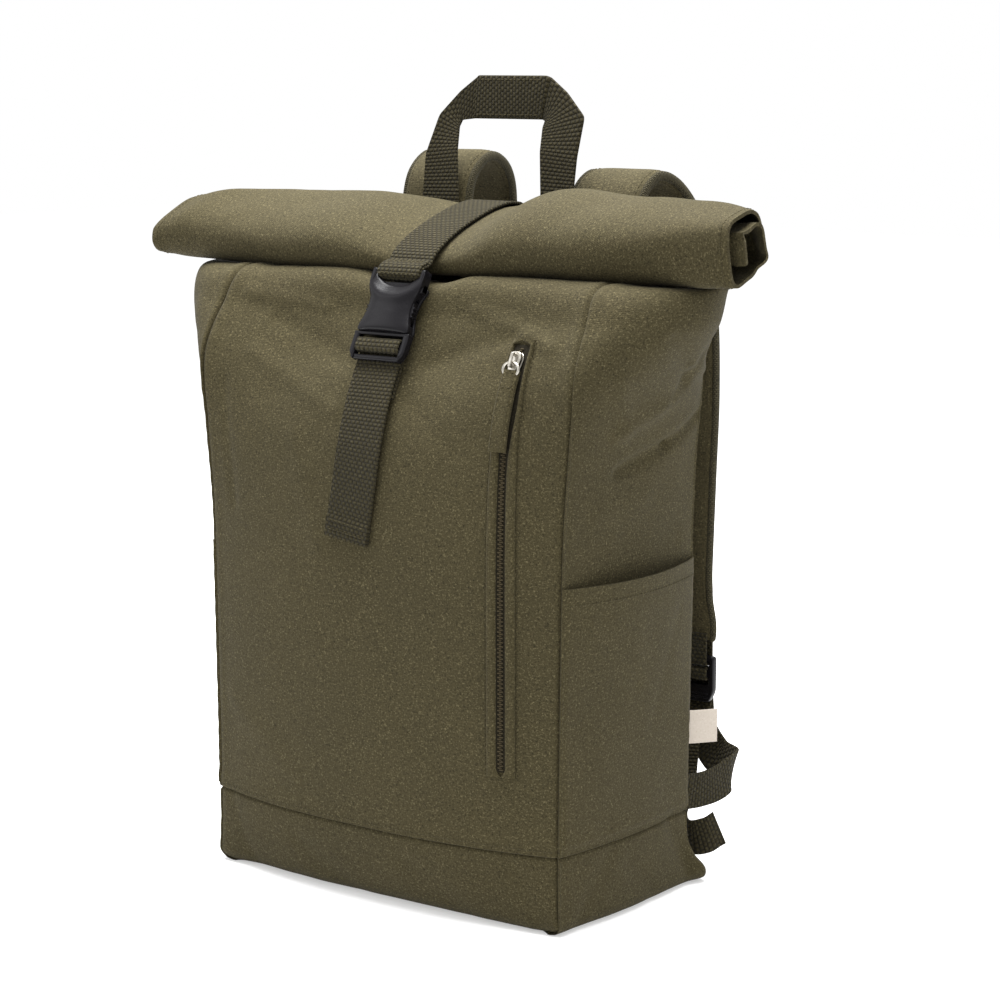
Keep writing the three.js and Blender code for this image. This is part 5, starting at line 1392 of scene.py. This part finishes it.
label = {"low": 96, "height": 22, "width": 20, "thick": 1.2, "turn": 38, "start": 0.6}
labelV = rowAtHeight(label["low"] + label["height"] / 2)
labelSeam = bodyPoint("right", 1.0, labelV)
a, b = np.meshgrid(np.linspace(0, 1, 26), np.linspace(0, 1, 22))
labelAngle = math.radians(label["turn"])
outwards = np.array([math.cos(labelAngle), -math.sin(labelAngle), 0])
backwards = np.array([math.sin(labelAngle), math.cos(labelAngle), 0])
bend = -0.8 * a * a + 0.5 * np.sin(3 * a) * np.sin(2.4 * b)
labelFoot = np.array([*labelSeam[:2], label["low"]])
outer = labelFoot + backwards * (label["start"] + a * label["width"])[..., None]
outer = outer + outwards * bend[..., None] + np.array([0, 0, 1]) * (b * label["height"])[..., None]
inner = outer - outwards * label["thick"]
mesh = shellMesh("sideLabel", outer, inner, flatUv(outer))
addPiece("sideLabel", mesh, "cream_label", "cream_label", "side_label")
print("label made")

studio = {
    "azimuth": 37.43, "elevation": 9.20, "lens": 99.0, "place": (1.1104, -1.4034, 0.5416),
    "worldStrength": 1.0, "floorSize": 12.0,
    "lights": [
        # name, place, aim, size, watts
        ("topLight", (-0.1, 0.1, 1.9), (0.0, 0.0, 0.3), 1.5, 120),
        ("leftLight", (-1.8, -1.6, 1.5), (0.0, 0.0, 0.25), 1.6, 8),
        ("rightLight", (2.2, -0.4, 1.3), (0.0, 0.0, 0.25), 1.4, 6),
    ],
}
azimuth, elevation = math.radians(studio["azimuth"]), math.radians(studio["elevation"])
camera = bpy.data.objects.new("camera", bpy.data.cameras.new("camera"))
camera.data.lens, camera.data.sensor_width = studio["lens"], 36.0
camera.data.dof.use_dof = False
camera.location = studio["place"]
level = math.cos(elevation)
look = Vector((-math.sin(azimuth) * level, math.cos(azimuth) * level, -math.sin(elevation)))
camera.rotation_euler = look.to_track_quat("-Z", "Y").to_euler()
bpy.context.scene.collection.objects.link(camera)
bpy.context.scene.camera = camera

half = studio["floorSize"] / 2
floorMesh = bpy.data.meshes.new("floor")
corners = [(-half, -half, 0), (half, -half, 0), (half, half, 0), (-half, half, 0)]
floorMesh.from_pydata(corners, [], [(0, 1, 2, 3)])
floorMesh.materials.append(floorMaterial())
floor = bpy.data.objects.new("floor", floorMesh)
bpy.context.scene.collection.objects.link(floor)
for name, place, aim, size, watts in studio["lights"]:
    lamp = bpy.data.lights.new(name, "AREA")
    lamp.shape, lamp.size, lamp.energy = "DISK", size, watts
    holder = bpy.data.objects.new(name, lamp)
    holder.location = place
    holder.rotation_euler = (Vector(aim) - Vector(place)).to_track_quat("-Z", "Y").to_euler()
    bpy.context.scene.collection.objects.link(holder)
world = bpy.data.worlds.new("studio")
bpy.context.scene.world = world
world.use_nodes = True
world.node_tree.nodes["Background"].inputs["Color"].default_value = (1.0, 1.0, 1.0, 1)
world.node_tree.nodes["Background"].inputs["Strength"].default_value = studio["worldStrength"]
bpy.context.scene.view_settings.view_transform = "Standard"
print("studio made")
